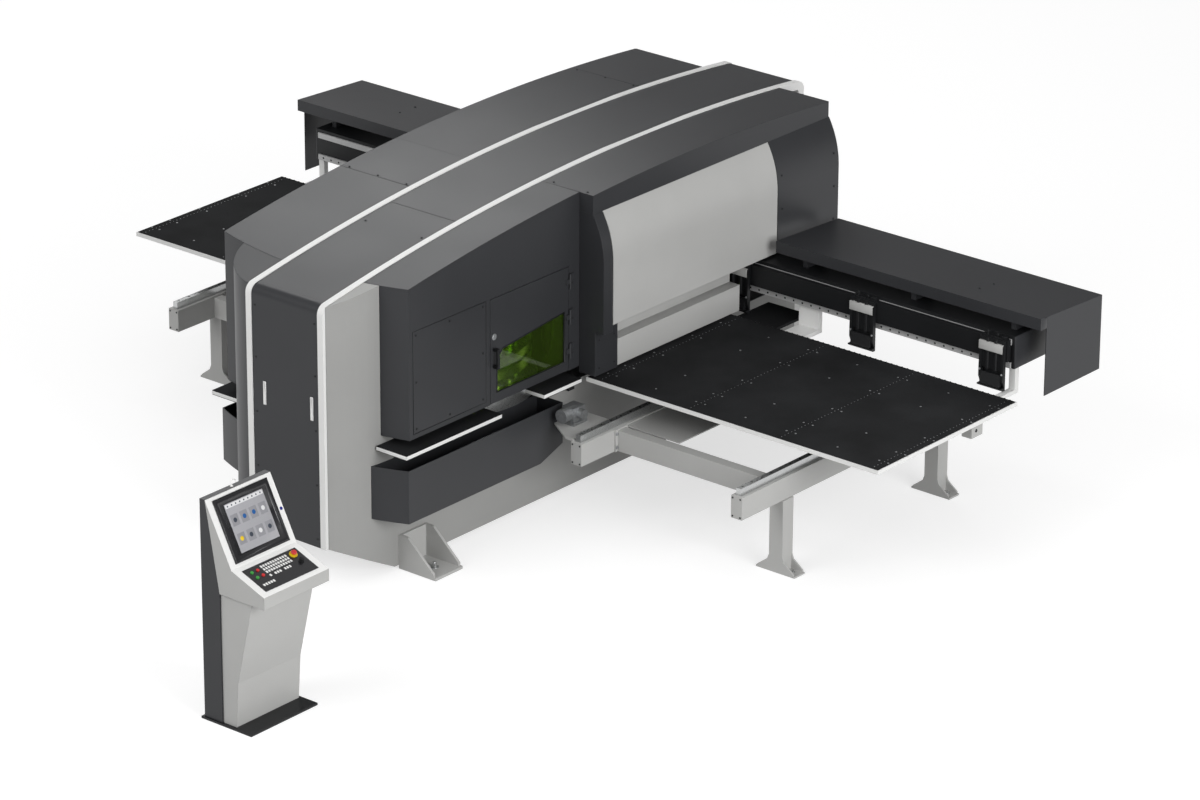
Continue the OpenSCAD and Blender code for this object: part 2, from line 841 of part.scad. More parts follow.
// Table beams, with the ledge that carries the drive motor
module table_beams() color(silver_paint) {
  mirrored() {
    beam(beam_in);
    beam(beam_out);
  }
  motor_ledge();
  mirrored()
    block([beam_in + beam_w / 2, leg_y0 - tube_back + tube_w + flange_over, beam_z - 18],
          [beam_in + tray_w, tray_rear, beam_z - 10]);
}

// Chamfered plate from the bed over the inner beam's front end
module motor_ledge()
  translate([0, 0, beam_z])
    linear_extrude(12)
      polygon([
        [bin_x + 20, beam_front + 150], [beam_in - beam_w / 2 - 60, beam_front + 10],
        [beam_in - rail_w, beam_front + 10], [beam_in - rail_w, leg_y0 - 40], [bin_x + 20, leg_y0 - 40]
      ]);

// Rectangular tubes between bed, inner beam and outer beam, with a bolt flange
module cross_tube(y) {
  flange_x = beam_in + beam_w / 2;
  block([bed_x, y, beam_z - beam_h], [beam_in - beam_w / 2, y + tube_w, beam_z - 10]);
  block([flange_x, y, beam_z - beam_h], [beam_out - beam_w / 2, y + tube_w, beam_z - 10]);
  block([flange_x, y - flange_over, beam_z - beam_h], [flange_x + 12, y + tube_w + flange_over, beam_z]);
}

// Leg column on its gusseted foot
module table_leg(y) translate([beam_out, y, 0]) {
  t = 12;
  block([-leg_w / 2, -leg_w / 2, t], [leg_w / 2, leg_w / 2, beam_z - beam_h]);
  block([-leg_foot / 2, -leg_w / 2, 0], [leg_foot / 2, leg_w / 2, t]);
  for (s = [-leg_w / 2, leg_w / 2 - t])
    for (side = [-1, 1])
      along_y(s, s + t)
        polygon([
          [side * leg_w / 2, t], [side * (leg_foot / 2 - t), t], [side * (leg_foot / 2 - t), t * 2],
          [side * leg_w * 0.62, t * 7], [side * leg_w / 2, t * 10]
        ]);
}

// Stand of the tables: cross tubes and legs
module table_stand() color(silver_paint)
  mirrored()
    for (y = [leg_y0, leg_y1]) {
      cross_tube(y - tube_back);
      table_leg(y);
    }

module table_rails() color(steel)
  mirrored()
    for (x = [beam_in, beam_out])
      block([x - rail_w / 2, beam_front + 20, beam_z], [x + rail_w / 2, beam_rear - 20, rail_top]);

// Geared drive motor on the ledge beside the inner beam
module drive_motor() color(steel) translate([beam_in - 233, beam_front + 250, beam_z + 12]) {
  block([-60, -70, 0], [60, 70, 20]);
  block([-50, -60, 20], [50, 60, 120]);
  translate([0, 0, 75]) rotate([90, 0, 0]) cylinder(d = 96, h = 130);
  translate([0, 0, 75]) rotate([0, 90, 0]) cylinder(d = 70, h = 95);
}

// Height of one of the three hinges
function hinge_at(i) = door_z0 + (door_z1 - door_z0) * [0.16, 0.49, 0.83][i];

// Hinge halves on the hood: leaf, two knuckles and the pin
module door_hinges() color(coal)
  for (i = [0:2])
    translate([hinge_x, hinge_y, hinge_at(i)]) {
      for (z = [-knuckle_l - run_gap, knuckle_l + run_gap])
        translate([0, 0, z]) {
          cylinder(d = pin_d * 1.8, h = knuckle_l);
          block([hood_right_x - hinge_x, 0, 0], [0, knuckle_l, knuckle_l]);
        }
      translate([0, 0, -knuckle_l]) cylinder(d = pin_d, h = 3 * knuckle_l);
    }

// Door leaf with its window opening and middle knuckles
module window_outline(grow)
  polygon([
    [door_y0 + door_gap + window_rim - grow, door_z0 + window_sill - grow],
    [door_y1 - door_gap - window_rim + 20 + grow, door_z0 + window_sill - grow],
    [door_y1 - door_gap - window_rim + 20 + grow, door_z0 + window_sill + window_h + window_rise + grow],
    [door_y0 + door_gap + window_rim + 60, door_z0 + window_sill + window_h + grow],
    [door_y0 + door_gap + window_rim - grow, door_z0 + window_sill + window_h - 60]
  ]);

module access_door() color(charcoal)
  difference() {
    union() {
      block([hood_right_x - door_t, door_y0 + door_gap, door_z0],
            [hood_right_x, door_y1 - door_gap, door_z1 - door_gap]);
      for (i = [0:2])
        translate([hinge_x, hinge_y, hinge_at(i)]) {
          cylinder(d = pin_d * 1.8, h = knuckle_l);
          block([hood_right_x - hinge_x, -knuckle_l, 0], [0, 0, knuckle_l]);
        }
    }
    along_x(hood_right_x - door_t - cut, hood_right_x + cut) window_outline(0);
    along_x(hood_right_x - door_t - cut, hood_right_x - door_t + pane_t) window_outline(15);
    for (i = [0:2])
      translate([hinge_x, hinge_y, hinge_at(i) - cut])
        cylinder(d = pin_d + 2 * fit_gap, h = knuckle_l + 2 * cut);
  }

module door_window() color([0.45, 0.65, 0.1, 0.6])
  along_x(hood_right_x - door_t, hood_right_x - door_t + pane_t) window_outline(15);

// Bow handle on the door's free edge
module door_pull() color(coal)
  translate([hood_right_x, door_y0 + door_gap + 34, door_z0 + 250]) {
    block([0, -12, 0], [30, 12, 20]);
    block([0, -12, 120], [30, 12, 140]);
    block([30, -12, 0], [42, 12, 140]);
  }

// Tool stations round the turret
module stations_ring() for (i = [0:stations - 1]) rotate(i * 360 / stations)
  translate([0, tool_circle, 0]) children();

module upper_turret() color(steel)
  translate([0, turret_y, turret_under])
    difference() {
      union() {
        cylinder(r = upper_r, h = upper_t, $fn = 128);
        translate([0, 0, upper_t]) cylinder(r = tool_circle - tool_d, h = 40);
        translate([0, 0, upper_t + 40]) cylinder(d = shaft_d, h = throat_top - turret_under - upper_t - 40);
        stations_ring() translate([0, 0, -24]) {
          cylinder(d = tool_d * 0.8, h = 25);
          translate([0, 0, upper_t + 23]) cylinder(d = tool_d, h = tool_h - 12 + cut);
          translate([0, 0, upper_t + 12 + tool_h]) cylinder(d = tool_d * 0.5, h = 12);
        }
      }
      translate([0, 0, upper_t * 0.45]) ring(2 * upper_r - 30, 2 * upper_r + 10, upper_t * 0.2);
    }

module lower_turret() color(steel)
  translate([0, turret_y, lower_top - lower_t]) {
    cylinder(r = turret_r, h = lower_t, $fn = 128);
    stations_ring() translate([0, 0, lower_t]) cylinder(d = tool_d, h = 22);
    translate([0, 0, bed_top - bed_t - lower_top + lower_t])
      cylinder(d = shaft_d, h = lower_top - lower_t - bed_top + bed_t);
  }

module ram() color(steel)
  translate([0, punch_y, ram_face]) {
    cylinder(d = ram_d, h = throat_top - ram_face + 40);
    cylinder(d = ram_d + 30, h = 14);
  }

// Laser cutting head, nozzle down
module laser_head() color(coal)
  translate([laser_x, punch_y, table_z]) {
    translate([0, 0, 50]) cylinder(d1 = 16, d2 = 44, h = 60);
    translate([0, 0, 110]) cylinder(d = 60, h = 70);
    translate([0, 0, 180]) cylinder(d = laser_d, h = throat_top - table_z);
  }

module crossbeam() color(soot)
  along_x(-cross_x, cross_x)
    difference() {
      translate([cross_y, cross_z0]) square([cross_d, cross_z1 - cross_z0]);
      translate([cross_y + cross_t, cross_z0 + cross_t])
        square([cross_d - 2 * cross_t, cross_z1 - cross_z0 - 2 * cross_t]);
    }

module crossbeam_rails() color(steel)
  for (z = [cross_z0, bar_z1 - xrail_h])
    block([20 - cross_x, cross_y - xrail_d, z], [cross_x - 20, cross_y, z + xrail_h]);

// Height of the cover's top sheet at a place along the machine
function hat_at(y) = hat_z - hat_fall * (y - hat_y0) / (hat_y1 - hat_y0);

// Sheet cover over one wing of the crossbeam, with its end panel and posts
module crossbeam_cover() {
  t = cover_t;
  along_x(hat_in, hat_out)
    polygon([
      [hat_y0, hat_z - hat_lip], [hat_y0, hat_z], [hat_y1, hat_at(hat_y1)],
        [hat_y1, hat_at(hat_y1) - hat_lip],
      [hat_y1 - t, hat_at(hat_y1) - hat_lip], [hat_y1 - t, hat_at(hat_y1) - t], [hat_y0 + t, hat_z - t],
      [hat_y0 + t, hat_z - hat_lip]
    ]);
  along_x(hat_out - t, hat_out)
    polygon([
      [hat_y0 + hat_set, hat_end_z], [hat_y0 + hat_set, hat_at(hat_y0 + hat_set) - t / 2],
      [hat_y1, hat_at(hat_y1) - t / 2], [hat_y1, hat_end_z]
    ]);
  post_y0 = cross_y + 100;
  post_y1 = cross_y + cross_d - 60;
  for (x = [hat_in + 190, (hat_in + hat_out) / 2, cross_x - 80])
    along_x(x - 20, x + 20)
      polygon([[post_y0, cross_z1], [post_y1, cross_z1], [post_y1, hat_at(post_y1) - t],
        [post_y0, hat_at(post_y0) - t]]);
}

module crossbeam_covers() color(charcoal) mirrored() crossbeam_cover();

// Brush table tops, with a low shelf that reaches under the crossbeam at the inner end
module side_tables() color(soot)
  mirrored() {
    block([table_in + rim_w, table_front + rim_w, frame_z],
          [table_out - rim_w, table_rear - rim_w, table_z]);
    block([table_in + table_t, table_rear - 18, frame_z - shelf_t],
          [beam_in + shelf_reach, cross_y + 210, frame_z - run_gap]);
  }

// Bracket from under the table's rear edge up to the crossbeam
module arm(x, w) {
  block([x, table_rear - 100, frame_z - 30], [x + w, cross_y + 60, frame_z - run_gap]);
  block([x, cross_y + 20, frame_z - 30], [x + w, cross_y + 60, cross_z0]);
}

// Table rim, runners on the bearing blocks and arms to the crossbeam
module table_frame() {
  difference() {
    block([table_in, table_front, frame_z], [table_out, table_rear, table_z - 4]);
    block([table_in + rim_w, table_front + rim_w, frame_z - cut],
          [table_out - rim_w, table_rear - rim_w, table_z]);
  }
  for (x = [beam_in, beam_out])
    block([x - 30, table_rear - 900, rail_top + block_h], [x + 30, table_rear - 20, frame_z]);
  arm(beam_in + shelf_reach + 70, arm_w);
  arm(table_out - 225, 50);
}

module table_frames() color(rim_white) mirrored() table_frame();

// Saddle block on a rail
module bearing_block(x, y)
  difference() {
    block([x - rail_w / 2 - 25, y, rail_top - 30], [x + rail_w / 2 + 25, y + block_l, rail_top + block_h]);
    block([x - rail_w / 2 - run_gap, y - cut, rail_top - 30 - cut],
          [x + rail_w / 2 + run_gap, y + block_l + cut, rail_top + run_gap]);
  }

module bearing_blocks() color(coal)
  mirrored()
    for (x = [beam_in, beam_out])
      for (y = [table_rear - 2 * block_pitch, table_rear - block_pitch]) bearing_block(x, y);

// Emergency stop box under the table's outer edge
module stop_box() color(silver_paint)
  difference() {
    block([table_out - 100, stop_box_y - 120, frame_z - 90], [table_out - 20, stop_box_y, frame_z]);
    translate([table_out - 60, stop_box_y - 30, frame_z - 45]) rotate([-90, 0, 0])
      cylinder(d = button_d + 2 * run_gap, h = 30 + cut);
  }

module table_estop() color(stop_red)
  translate([table_out - 60, stop_box_y - 16, frame_z - 45]) rotate([-90, 0, 0]) {
    cylinder(d = button_d, h = 30);
    translate([0, 0, 30]) cylinder(d = estop_d, h = 14);
  }

// Bar that carries the clamps along the crossbeam
module clamp_carriage() color(coal)
  block([clamp_x - clamp_pitch - 110, bar_y0, bar_z1 - bar_h],
        [clamp_x + clamp_pitch + 110, bar_y1, bar_z1]);

// Fixed part of one clamp: back plate, cheeks and lower jaw
module clamp_body(x) translate([x, 0, 0]) {
  w = clamp_w / 2;
  cheek = 20;
  for (s = [-w, w - cheek])
    along_x(s, s + cheek)
      difference() {
        polygon([
          [bar_y0, sheet_z - 24], [bar_y0, bar_z1], [bar_y0 - 22, bar_z1], [bar_y0 - 30, pivot_z + 40],
          [bar_y0 - 30, pivot_z - 24], [bar_y0 - 10, sheet_z - 3], [bar_y0 - 10, sheet_z - 24]
        ]);
        translate([pivot_y, pivot_z]) circle(d = 16 + 2 * fit_gap);
      }
  block([-w, bar_y0 - 10, bar_z1 - bar_h], [w, bar_y0, bar_z1]);
  block([cheek - w, bar_y0 - 20, pivot_z + 44], [w - cheek, bar_y0, bar_z1]);
  for (x = [-w / 3, w / 3])
    translate([x, bar_y0 - 22, pivot_z + 40]) cylinder(d = 24, h = bar_z1 - pivot_z - 44);
  block([-w, bar_y0, bar_z1], [w, bar_y1 - 4, bar_z1 + 8]);
  block([-w, bar_y0 - 36, bar_z1 - 90], [w, bar_y0, bar_z1 - 30]);
  along_x(-w, w)
    polygon([[jaw_y, sheet_z - 12], [jaw_y, sheet_z - 3], [bar_y0, sheet_z - 3], [bar_y0, sheet_z - 24],
      [jaw_y + 20, sheet_z - 24]]);
}

module clamp_bodies() color(coal)
  for (i = [-1:1]) clamp_body(clamp_x + i * clamp_pitch);

// Hinged upper jaw of one clamp, on its own pin
module clamp_jaw(x) color(soot) translate([x, 0, 0]) {
  w = clamp_w / 2 - 20 - run_gap;
  along_x(-w, w)
    polygon([
      [jaw_y, sheet_z + 2], [jaw_y, sheet_z + 12], [pivot_y - 12, pivot_z + 12],
        [pivot_y + 2, pivot_z + 12],
      [pivot_y + 2, pivot_z - 14], [jaw_y + 24, sheet_z + 2]
    ]);
  translate([-clamp_w / 2, pivot_y, pivot_z]) rotate([0, 90, 0]) cylinder(d = 16, h = clamp_w);
}

module clamp_jaw_1() clamp_jaw(clamp_x - clamp_pitch);
module clamp_jaw_2() clamp_jaw(clamp_x);
module clamp_jaw_3() clamp_jaw(clamp_x + clamp_pitch);

module console_width(inset) along_y(desk_y - desk_w / 2 + inset, desk_y + desk_w / 2 - inset) children();

module console_base() color(coal)
  block([desk_x - 20, desk_y - desk_w / 2 - 10, 0], [body_x1 - 10, desk_y + desk_w / 2 + 10, plate_t]);

module console_column() color(charcoal)
  console_width(0)
    polygon([
      [desk_x, plate_t], [desk_x + column_d, plate_t], [desk_x + column_d, under_z],
      [screen_x0, desk_h], [desk_x, desk_h]
    ]);

module console_body() color(silver_paint)
  console_width(10)
    polygon([
      [desk_x + column_d, plate_t], [body_x1 - 150, plate_t], [body_x1 - 130, plate_t + 300],
      [body_x1, under_z], [desk_x + column_d, under_z]
    ]);

module on_shelf(s, y) translate([screen_x1, desk_y + y, shelf_z]) rotate([0, shelf_angle, 0])
  translate([s, 0, 0]) children();

// Places of the push buttons on the desk: along the slope, then across
button_places = [[80, -190], [130, -190], [80, -140], [130, -140]];
estop_place = [82, 176];
knob_place = [152, 178];

module console_desk() color(rim_white)
  difference() {
    console_width(0)
      polygon([
        [desk_x + column_d, under_z], [screen_x0, desk_h], [screen_x1, shelf_z],
        [screen_x1 + shelf_d, shelf_z - shelf_fall], [screen_x1 + shelf_d, under_z]
      ]);
    for (p = button_places)
      on_shelf(p[0], p[1]) translate([0, 0, -button_in])
        cylinder(d = button_d + 2 * run_gap, h = button_in + 20);
    on_shelf(estop_place[0], estop_place[1]) translate([0, 0, -button_in])
      cylinder(d = button_d + 2 * run_gap, h = button_in + 20);
    on_shelf(knob_place[0], knob_place[1]) translate([0, 0, -button_in])
      cylinder(d = pin_d + 2 * fit_gap, h = button_in + 20);
  }

module console_screen() color(soot)
  translate([screen_x0, desk_y, desk_h]) rotate([0, screen_angle, 0])
    block([24, 50 - desk_w / 2, 0], [screen_l - 26, desk_w / 2 - 50, 8]);

module console_keypad() color(coal)
  difference() {
    on_shelf(pad_s0, 0) block([0, -pad_w / 2, 0], [pad_l, pad_w / 2, pad_t]);
    for (p = button_places)
      on_shelf(p[0], p[1]) translate([0, 0, -cut]) cylinder(d = button_d + 2 * run_gap, h = 20);
    on_shelf(estop_place[0], estop_place[1]) translate([0, 0, -cut])
      cylinder(d = button_d + 2 * run_gap, h = 20);
    on_shelf(knob_place[0], knob_place[1]) translate([0, 0, -cut])
      cylinder(d = pin_d + 2 * fit_gap, h = 20);
  }

module push_button(i) on_shelf(button_places[i][0], button_places[i][1]) translate([0, 0, -8]) {
  cylinder(d = button_d, h = 8 + pad_t + 7);
}

module estop_collar() color(stop_yellow)
  on_shelf(estop_place[0], estop_place[1]) translate([0, 0, pad_t])
    ring(button_d + 2 * run_gap, estop_d + 14, 8);

module console_estop() color(stop_red)
  on_shelf(estop_place[0], estop_place[1]) translate([0, 0, -8]) {
    cylinder(d = button_d, h = 8 + pad_t + 16);
    translate([0, 0, 8 + pad_t + 14]) cylinder(d1 = estop_d - 6, d2 = estop_d, h = 6);
    translate([0, 0, 8 + pad_t + 20]) cylinder(d1 = estop_d, d2 = estop_d - 10, h = 8);
  }

module start_button() color(go_green) push_button(0);
module resume_button() color(go_green) push_button(1);
module hold_button() color(stop_red) push_button(2);
module halt_button() color(stop_red) push_button(3);

// Feed override knob with its pointer
module feed_knob() color(coal)
  on_shelf(knob_place[0], knob_place[1]) {
    translate([0, 0, 2 - button_in]) cylinder(d = pin_d, h = button_in + pad_t + 6);
    translate([0, 0, pad_t + run_gap]) cylinder(d = knob_d, h = 7);
    translate([0, 0, pad_t + run_gap + 6]) cylinder(d1 = knob_d - 6, d2 = knob_d - 9, h = 16);
    translate([0, 0, pad_t + run_gap + 6]) block([-knob_d / 2, -2, 0], [0, 2, 18]);
  }

bed_frame();
bridge_frame();
floor_feet();
nose_panel();
spine_cover();
edge_strips();
spine_flanks();
hood_right();
hood_left();
service_panel();
roof_right();
roof_left();
cheeks();
side_panels();
rear_panels();
back_wall();
guard_housings();
throat_guards();
catch_bins();
fixed_tables();
head_bearings();
laser_bracket();
table_beams();
table_stand();
table_rails();
drive_motor();
door_hinges();
console_base();
console_column();
console_body();
console_desk();
console_screen();
console_keypad();
estop_collar();
access_door();
door_window();
door_pull();
upper_turret();
lower_turret();
ram();
laser_head();
crossbeam();
crossbeam_rails();
crossbeam_covers();
side_tables();
table_frames();
bearing_blocks();
stop_box();
clamp_carriage();
clamp_bodies();
clamp_jaw_1();
clamp_jaw_2();
clamp_jaw_3();
console_estop();
start_button();
resume_button();
hold_button();
halt_button();
feed_knob();
table_estop();
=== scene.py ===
"""Looks for the punch and laser combination machine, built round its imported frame."""

import math

import bpy
from mathutils import Matrix, Vector


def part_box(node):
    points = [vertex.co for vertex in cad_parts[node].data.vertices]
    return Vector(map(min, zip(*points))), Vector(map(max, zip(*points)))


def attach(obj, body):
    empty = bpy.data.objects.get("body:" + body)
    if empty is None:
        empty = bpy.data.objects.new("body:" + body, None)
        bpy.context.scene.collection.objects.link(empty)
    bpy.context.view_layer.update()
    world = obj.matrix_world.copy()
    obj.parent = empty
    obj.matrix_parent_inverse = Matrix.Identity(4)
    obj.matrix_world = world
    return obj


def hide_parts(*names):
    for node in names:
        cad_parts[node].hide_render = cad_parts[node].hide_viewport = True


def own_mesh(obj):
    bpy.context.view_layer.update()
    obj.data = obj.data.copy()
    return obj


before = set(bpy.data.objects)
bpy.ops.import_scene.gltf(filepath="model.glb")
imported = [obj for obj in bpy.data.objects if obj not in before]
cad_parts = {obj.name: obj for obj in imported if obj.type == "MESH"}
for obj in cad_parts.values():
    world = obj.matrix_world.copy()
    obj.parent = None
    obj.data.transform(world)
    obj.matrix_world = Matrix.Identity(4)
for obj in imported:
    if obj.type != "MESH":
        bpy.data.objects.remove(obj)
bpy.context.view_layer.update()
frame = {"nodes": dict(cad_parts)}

bl_info = {
    "name": "Punch laser machine looks",
    "version": (1, 0, 0),
    "blender": (4, 5, 0),
    "location": "View3D > Sidebar > Machine",
    "description": "Dresses the packed frame of a punch and laser combination machine",
    "category": "Object",
}


class MachineColours(bpy.types.PropertyGroup):
    """Colours of the finishes"""
    charcoal: bpy.props.FloatVectorProperty(
        name="Charcoal", description="Dark cover paint", subtype="COLOR", size=3,
        default=(0.030, 0.031, 0.034), min=0, max=1)
    silver: bpy.props.FloatVectorProperty(
        name="Silver", description="Light grey frame and panel paint", subtype="COLOR", size=3,
        default=(0.45, 0.45, 0.44), min=0, max=1)
    frame: bpy.props.FloatVectorProperty(
        name="Frame grey", description="Paint of the bed and the nose's flanks", subtype="COLOR", size=3,
        default=(0.32, 0.32, 0.312), min=0, max=1)
    # White also paints light: the upward faces of the console desk and its head
    white: bpy.props.FloatVectorProperty(
        name="White", description="Edge strips, rims and console head", subtype="COLOR", size=3,
        default=(0.78, 0.78, 0.77), min=0, max=1)
    # Black also paints shade: the bed's top and the shade sheets under the front fixed tables
    black: bpy.props.FloatVectorProperty(
        name="Black", description="Crossbeam, clamps and small fittings", subtype="COLOR", size=3,
        default=(0.0085, 0.009, 0.010), min=0, max=1)
    brush: bpy.props.FloatVectorProperty(
        name="Brush", description="Bristle surface of the tables", subtype="COLOR", size=3,
        default=(0.0125, 0.013, 0.014), min=0, max=1)
    steel: bpy.props.FloatVectorProperty(
        name="Steel", description="Ground steel of turret, ram and rails", subtype="COLOR", size=3,
        default=(0.55, 0.56, 0.56), min=0, max=1)
    pane: bpy.props.FloatVectorProperty(
        name="Pane", description="Laser safety window", subtype="COLOR", size=3,
        default=(0.3, 0.52, 0.06), min=0, max=1)
    red: bpy.props.FloatVectorProperty(
        name="Red", description="Stop buttons", subtype="COLOR", size=3,
        default=(0.55, 0.012, 0.014), min=0, max=1)
    yellow: bpy.props.FloatVectorProperty(
        name="Yellow", description="Stop collars", subtype="COLOR", size=3,
        default=(0.72, 0.5, 0.01), min=0, max=1)
    green: bpy.props.FloatVectorProperty(
        name="Green", description="Start buttons", subtype="COLOR", size=3,
        default=(0.035, 0.3, 0.04), min=0, max=1)
    blue: bpy.props.FloatVectorProperty(
        name="Blue", description="Port of the console head", subtype="COLOR", size=3,
        default=(0.012, 0.016, 0.2), min=0, max=1)


class MachineTrim(bpy.types.PropertyGroup):
    """Sizes of the small fittings"""
    screw_radius: bpy.props.FloatProperty(
        name="Screw radius", description="Head radius of a cover screw", subtype="DISTANCE",
        unit="LENGTH", default=0.008, min=0.003, max=0.02)
    seam_width: bpy.props.FloatProperty(
        name="Seam width", description="Width of a joint between sheets", subtype="DISTANCE",
        unit="LENGTH", default=0.006, min=0.002, max=0.02)
    stud_radius: bpy.props.FloatProperty(
        name="Stud radius", description="Radius of a stud in the brush tables", subtype="DISTANCE",
        unit="LENGTH", default=0.007, min=0.003, max=0.02)
    rim_proud: bpy.props.FloatProperty(
        name="Rim", description="How far a light rim stands out of its table", subtype="DISTANCE",
        unit="LENGTH", default=0.0015, min=0.0005, max=0.003)


class MachineStage(bpy.types.PropertyGroup):
    """Camera and light"""
    camera_place: bpy.props.FloatVectorProperty(
        name="Camera place", description="Where the camera stands", subtype="TRANSLATION", size=3,
        default=(22.7209, -26.4776, 14.8866))
    yaw: bpy.props.FloatProperty(
        name="Yaw", description="Turn of the camera round the machine", subtype="ANGLE",
        default=math.radians(39.826))
    pitch: bpy.props.FloatProperty(
        name="Pitch", description="How far the camera looks down", subtype="ANGLE",
        default=math.radians(22.547))
    roll: bpy.props.FloatProperty(
        name="Roll", description="Tilt of the camera", subtype="ANGLE", default=math.radians(0.264))
    lens: bpy.props.FloatProperty(
        name="Lens", description="Focal length on a 36 mm sensor", default=165.66, min=10, unit="CAMERA")
    key_power: bpy.props.FloatProperty(
        name="Key power", description="Power of the soft lamp before the nose", default=1350.0, min=0,
        unit="POWER")
    fill_power: bpy.props.FloatProperty(
        name="Fill power", description="Power of the soft lamp on the door side", default=2400.0, min=0,
        unit="POWER")
    sheen_power: bpy.props.FloatProperty(
        name="Sheen power", description="Power of the softbox behind, for the roof's sheen",
        default=470.0, min=0, unit="POWER")


# Finishes

# Colour sockets of a Mix node, whose names repeat for its other types
MIX_A = 6
MIX_B = 7
MIX_RESULT = 2


def new_finish(name):
    """An empty node material with its shader, ready to wire"""
    finish = bpy.data.materials.new(name)
    finish.use_nodes = True
    shader = finish.node_tree.nodes["Principled BSDF"]
    return finish, finish.node_tree, shader


def object_noise(tree, scale, detail, stretch=(1, 1, 1)):
    """Noise on Object coordinates, stretched along the axes"""
    place = tree.nodes.new("ShaderNodeTexCoord")
    mapping = tree.nodes.new("ShaderNodeMapping")
    mapping.inputs["Scale"].default_value = stretch
    noise = tree.nodes.new("ShaderNodeTexNoise")
    noise.inputs["Scale"].default_value = scale
    noise.inputs["Detail"].default_value = detail
    tree.links.new(place.outputs["Object"], mapping.inputs["Vector"])
    tree.links.new(mapping.outputs["Vector"], noise.inputs["Vector"])
    return noise


def ramp_between(tree, source, low, high, start=0.35, end=0.65):
    """Colour ramp from low to high over part of the source"""
    ramp = tree.nodes.new("ShaderNodeValToRGB")
    ramp.color_ramp.elements[0].position = start
    ramp.color_ramp.elements[1].position = end
    ramp.color_ramp.elements[0].color = (*low, 1)
    ramp.color_ramp.elements[1].color = (*high, 1)
    tree.links.new(source, ramp.inputs["Fac"])
    return ramp


def bump_from(tree, shader, source, strength, distance, fold=0.0):
    """Small relief from a height source, over sharp folds that are rounded by a radius"""
    bump = tree.nodes.new("ShaderNodeBump")
    bump.inputs["Strength"].default_value = strength
    bump.inputs["Distance"].default_value = distance
    tree.links.new(source, bump.inputs["Height"])
    if fold:
        soft = tree.nodes.new("ShaderNodeBevel")
        soft.samples = 4
        soft.inputs["Radius"].default_value = fold
        tree.links.new(soft.outputs["Normal"], bump.inputs["Normal"])
    tree.links.new(bump.outputs["Normal"], shader.inputs["Normal"])


def shade(colour, factor):
    """A colour made lighter or darker"""
    return tuple(min(1.0, value * factor) for value in colour)


def paint(name, colour, roughness=0.45, specular=0.3, mottle=0.05, fold=0.004):
    """Powder coat: fine orange peel, specks, faint patches of tone and gloss, rounded folds"""
    finish, tree, shader = new_finish(name)
    patches = object_noise(tree, 1.7, 5.0)
    specks = object_noise(tree, 260.0, 2.0)
    mix = tree.nodes.new("ShaderNodeMath")
    mix.operation = "MULTIPLY_ADD"
    mix.inputs[1].default_value = 0.3
    tree.links.new(specks.outputs["Fac"], mix.inputs[0])
    tree.links.new(patches.outputs["Fac"], mix.inputs[2])
    tone = ramp_between(tree, mix.outputs["Value"], shade(colour, 1 - mottle),
                        shade(colour, 1 + mottle), 0.5, 0.8)
    tree.links.new(tone.outputs["Color"], shader.inputs["Base Color"])
    gloss = tree.nodes.new("ShaderNodeMapRange")
    gloss.inputs["To Min"].default_value = roughness - 0.05
    gloss.inputs["To Max"].default_value = roughness + 0.05
    tree.links.new(patches.outputs["Fac"], gloss.inputs["Value"])
    tree.links.new(gloss.outputs["Result"], shader.inputs["Roughness"])
    shader.inputs["Specular IOR Level"].default_value = specular
    peel = object_noise(tree, 420.0, 2.0)
    bump_from(tree, shader, peel.outputs["Fac"], 0.2, 0.0005, fold)
    return finish


def two_tone_and_painted_light(name, colour, other, limits, source="Object"):
    """Paint that turns into another inside limits of its Object place or its Normal: a real second tone
    on the nose's flank, painted shade on the bed's top, painted light on the console desk's upward faces
    """
    finish = paint(name, colour, roughness=0.42, specular=0.35, mottle=0.03)
    tree = finish.node_tree
    shader = tree.nodes["Principled BSDF"]
    tone = shader.inputs["Base Color"].links[0].from_socket
    place = tree.nodes.new("ShaderNodeTexCoord")
    parts = tree.nodes.new("ShaderNodeSeparateXYZ")
    tree.links.new(place.outputs[source], parts.inputs["Vector"])
    inside = None
    for axis, test, level in limits:
        step = tree.nodes.new("ShaderNodeMath")
        step.operation = test
        step.inputs[1].default_value = level
        tree.links.new(parts.outputs[axis], step.inputs[0])
        if inside:
            both = tree.nodes.new("ShaderNodeMath")
            both.operation = "MULTIPLY"
            tree.links.new(inside, both.inputs[0])
            tree.links.new(step.outputs["Value"], both.inputs[1])
            inside = both.outputs["Value"]
        else:
            inside = step.outputs["Value"]
    mix = tree.nodes.new("ShaderNodeMix")
    mix.data_type = "RGBA"
    mix.inputs[MIX_B].default_value = (*other, 1)
    tree.links.new(inside, mix.inputs["Factor"])
    tree.links.new(tone, mix.inputs[MIX_A])
    tree.links.new(mix.outputs[MIX_RESULT], shader.inputs["Base Color"])
    return finish


def ground_steel(name, colour, roughness=0.28, stretch=(1, 1, 40), metallic=0.9):
    """Machined steel with fine grinding marks"""
    finish, tree, shader = new_finish(name)
    marks = object_noise(tree, 60.0, 6.0, stretch)
    tone = ramp_between(tree, marks.outputs["Fac"], shade(colour, 0.82), shade(colour, 1.1), 0.3, 0.7)
    tree.links.new(tone.outputs["Color"], shader.inputs["Base Color"])
    shader.inputs["Metallic"].default_value = metallic
    wear = tree.nodes.new("ShaderNodeMapRange")
    wear.inputs["To Min"].default_value = roughness - 0.08
    wear.inputs["To Max"].default_value = roughness + 0.1
    tree.links.new(marks.outputs["Fac"], wear.inputs["Value"])
    tree.links.new(wear.outputs["Result"], shader.inputs["Roughness"])
    bump_from(tree, shader, marks.outputs["Fac"], 0.12, 0.0004)
    return finish


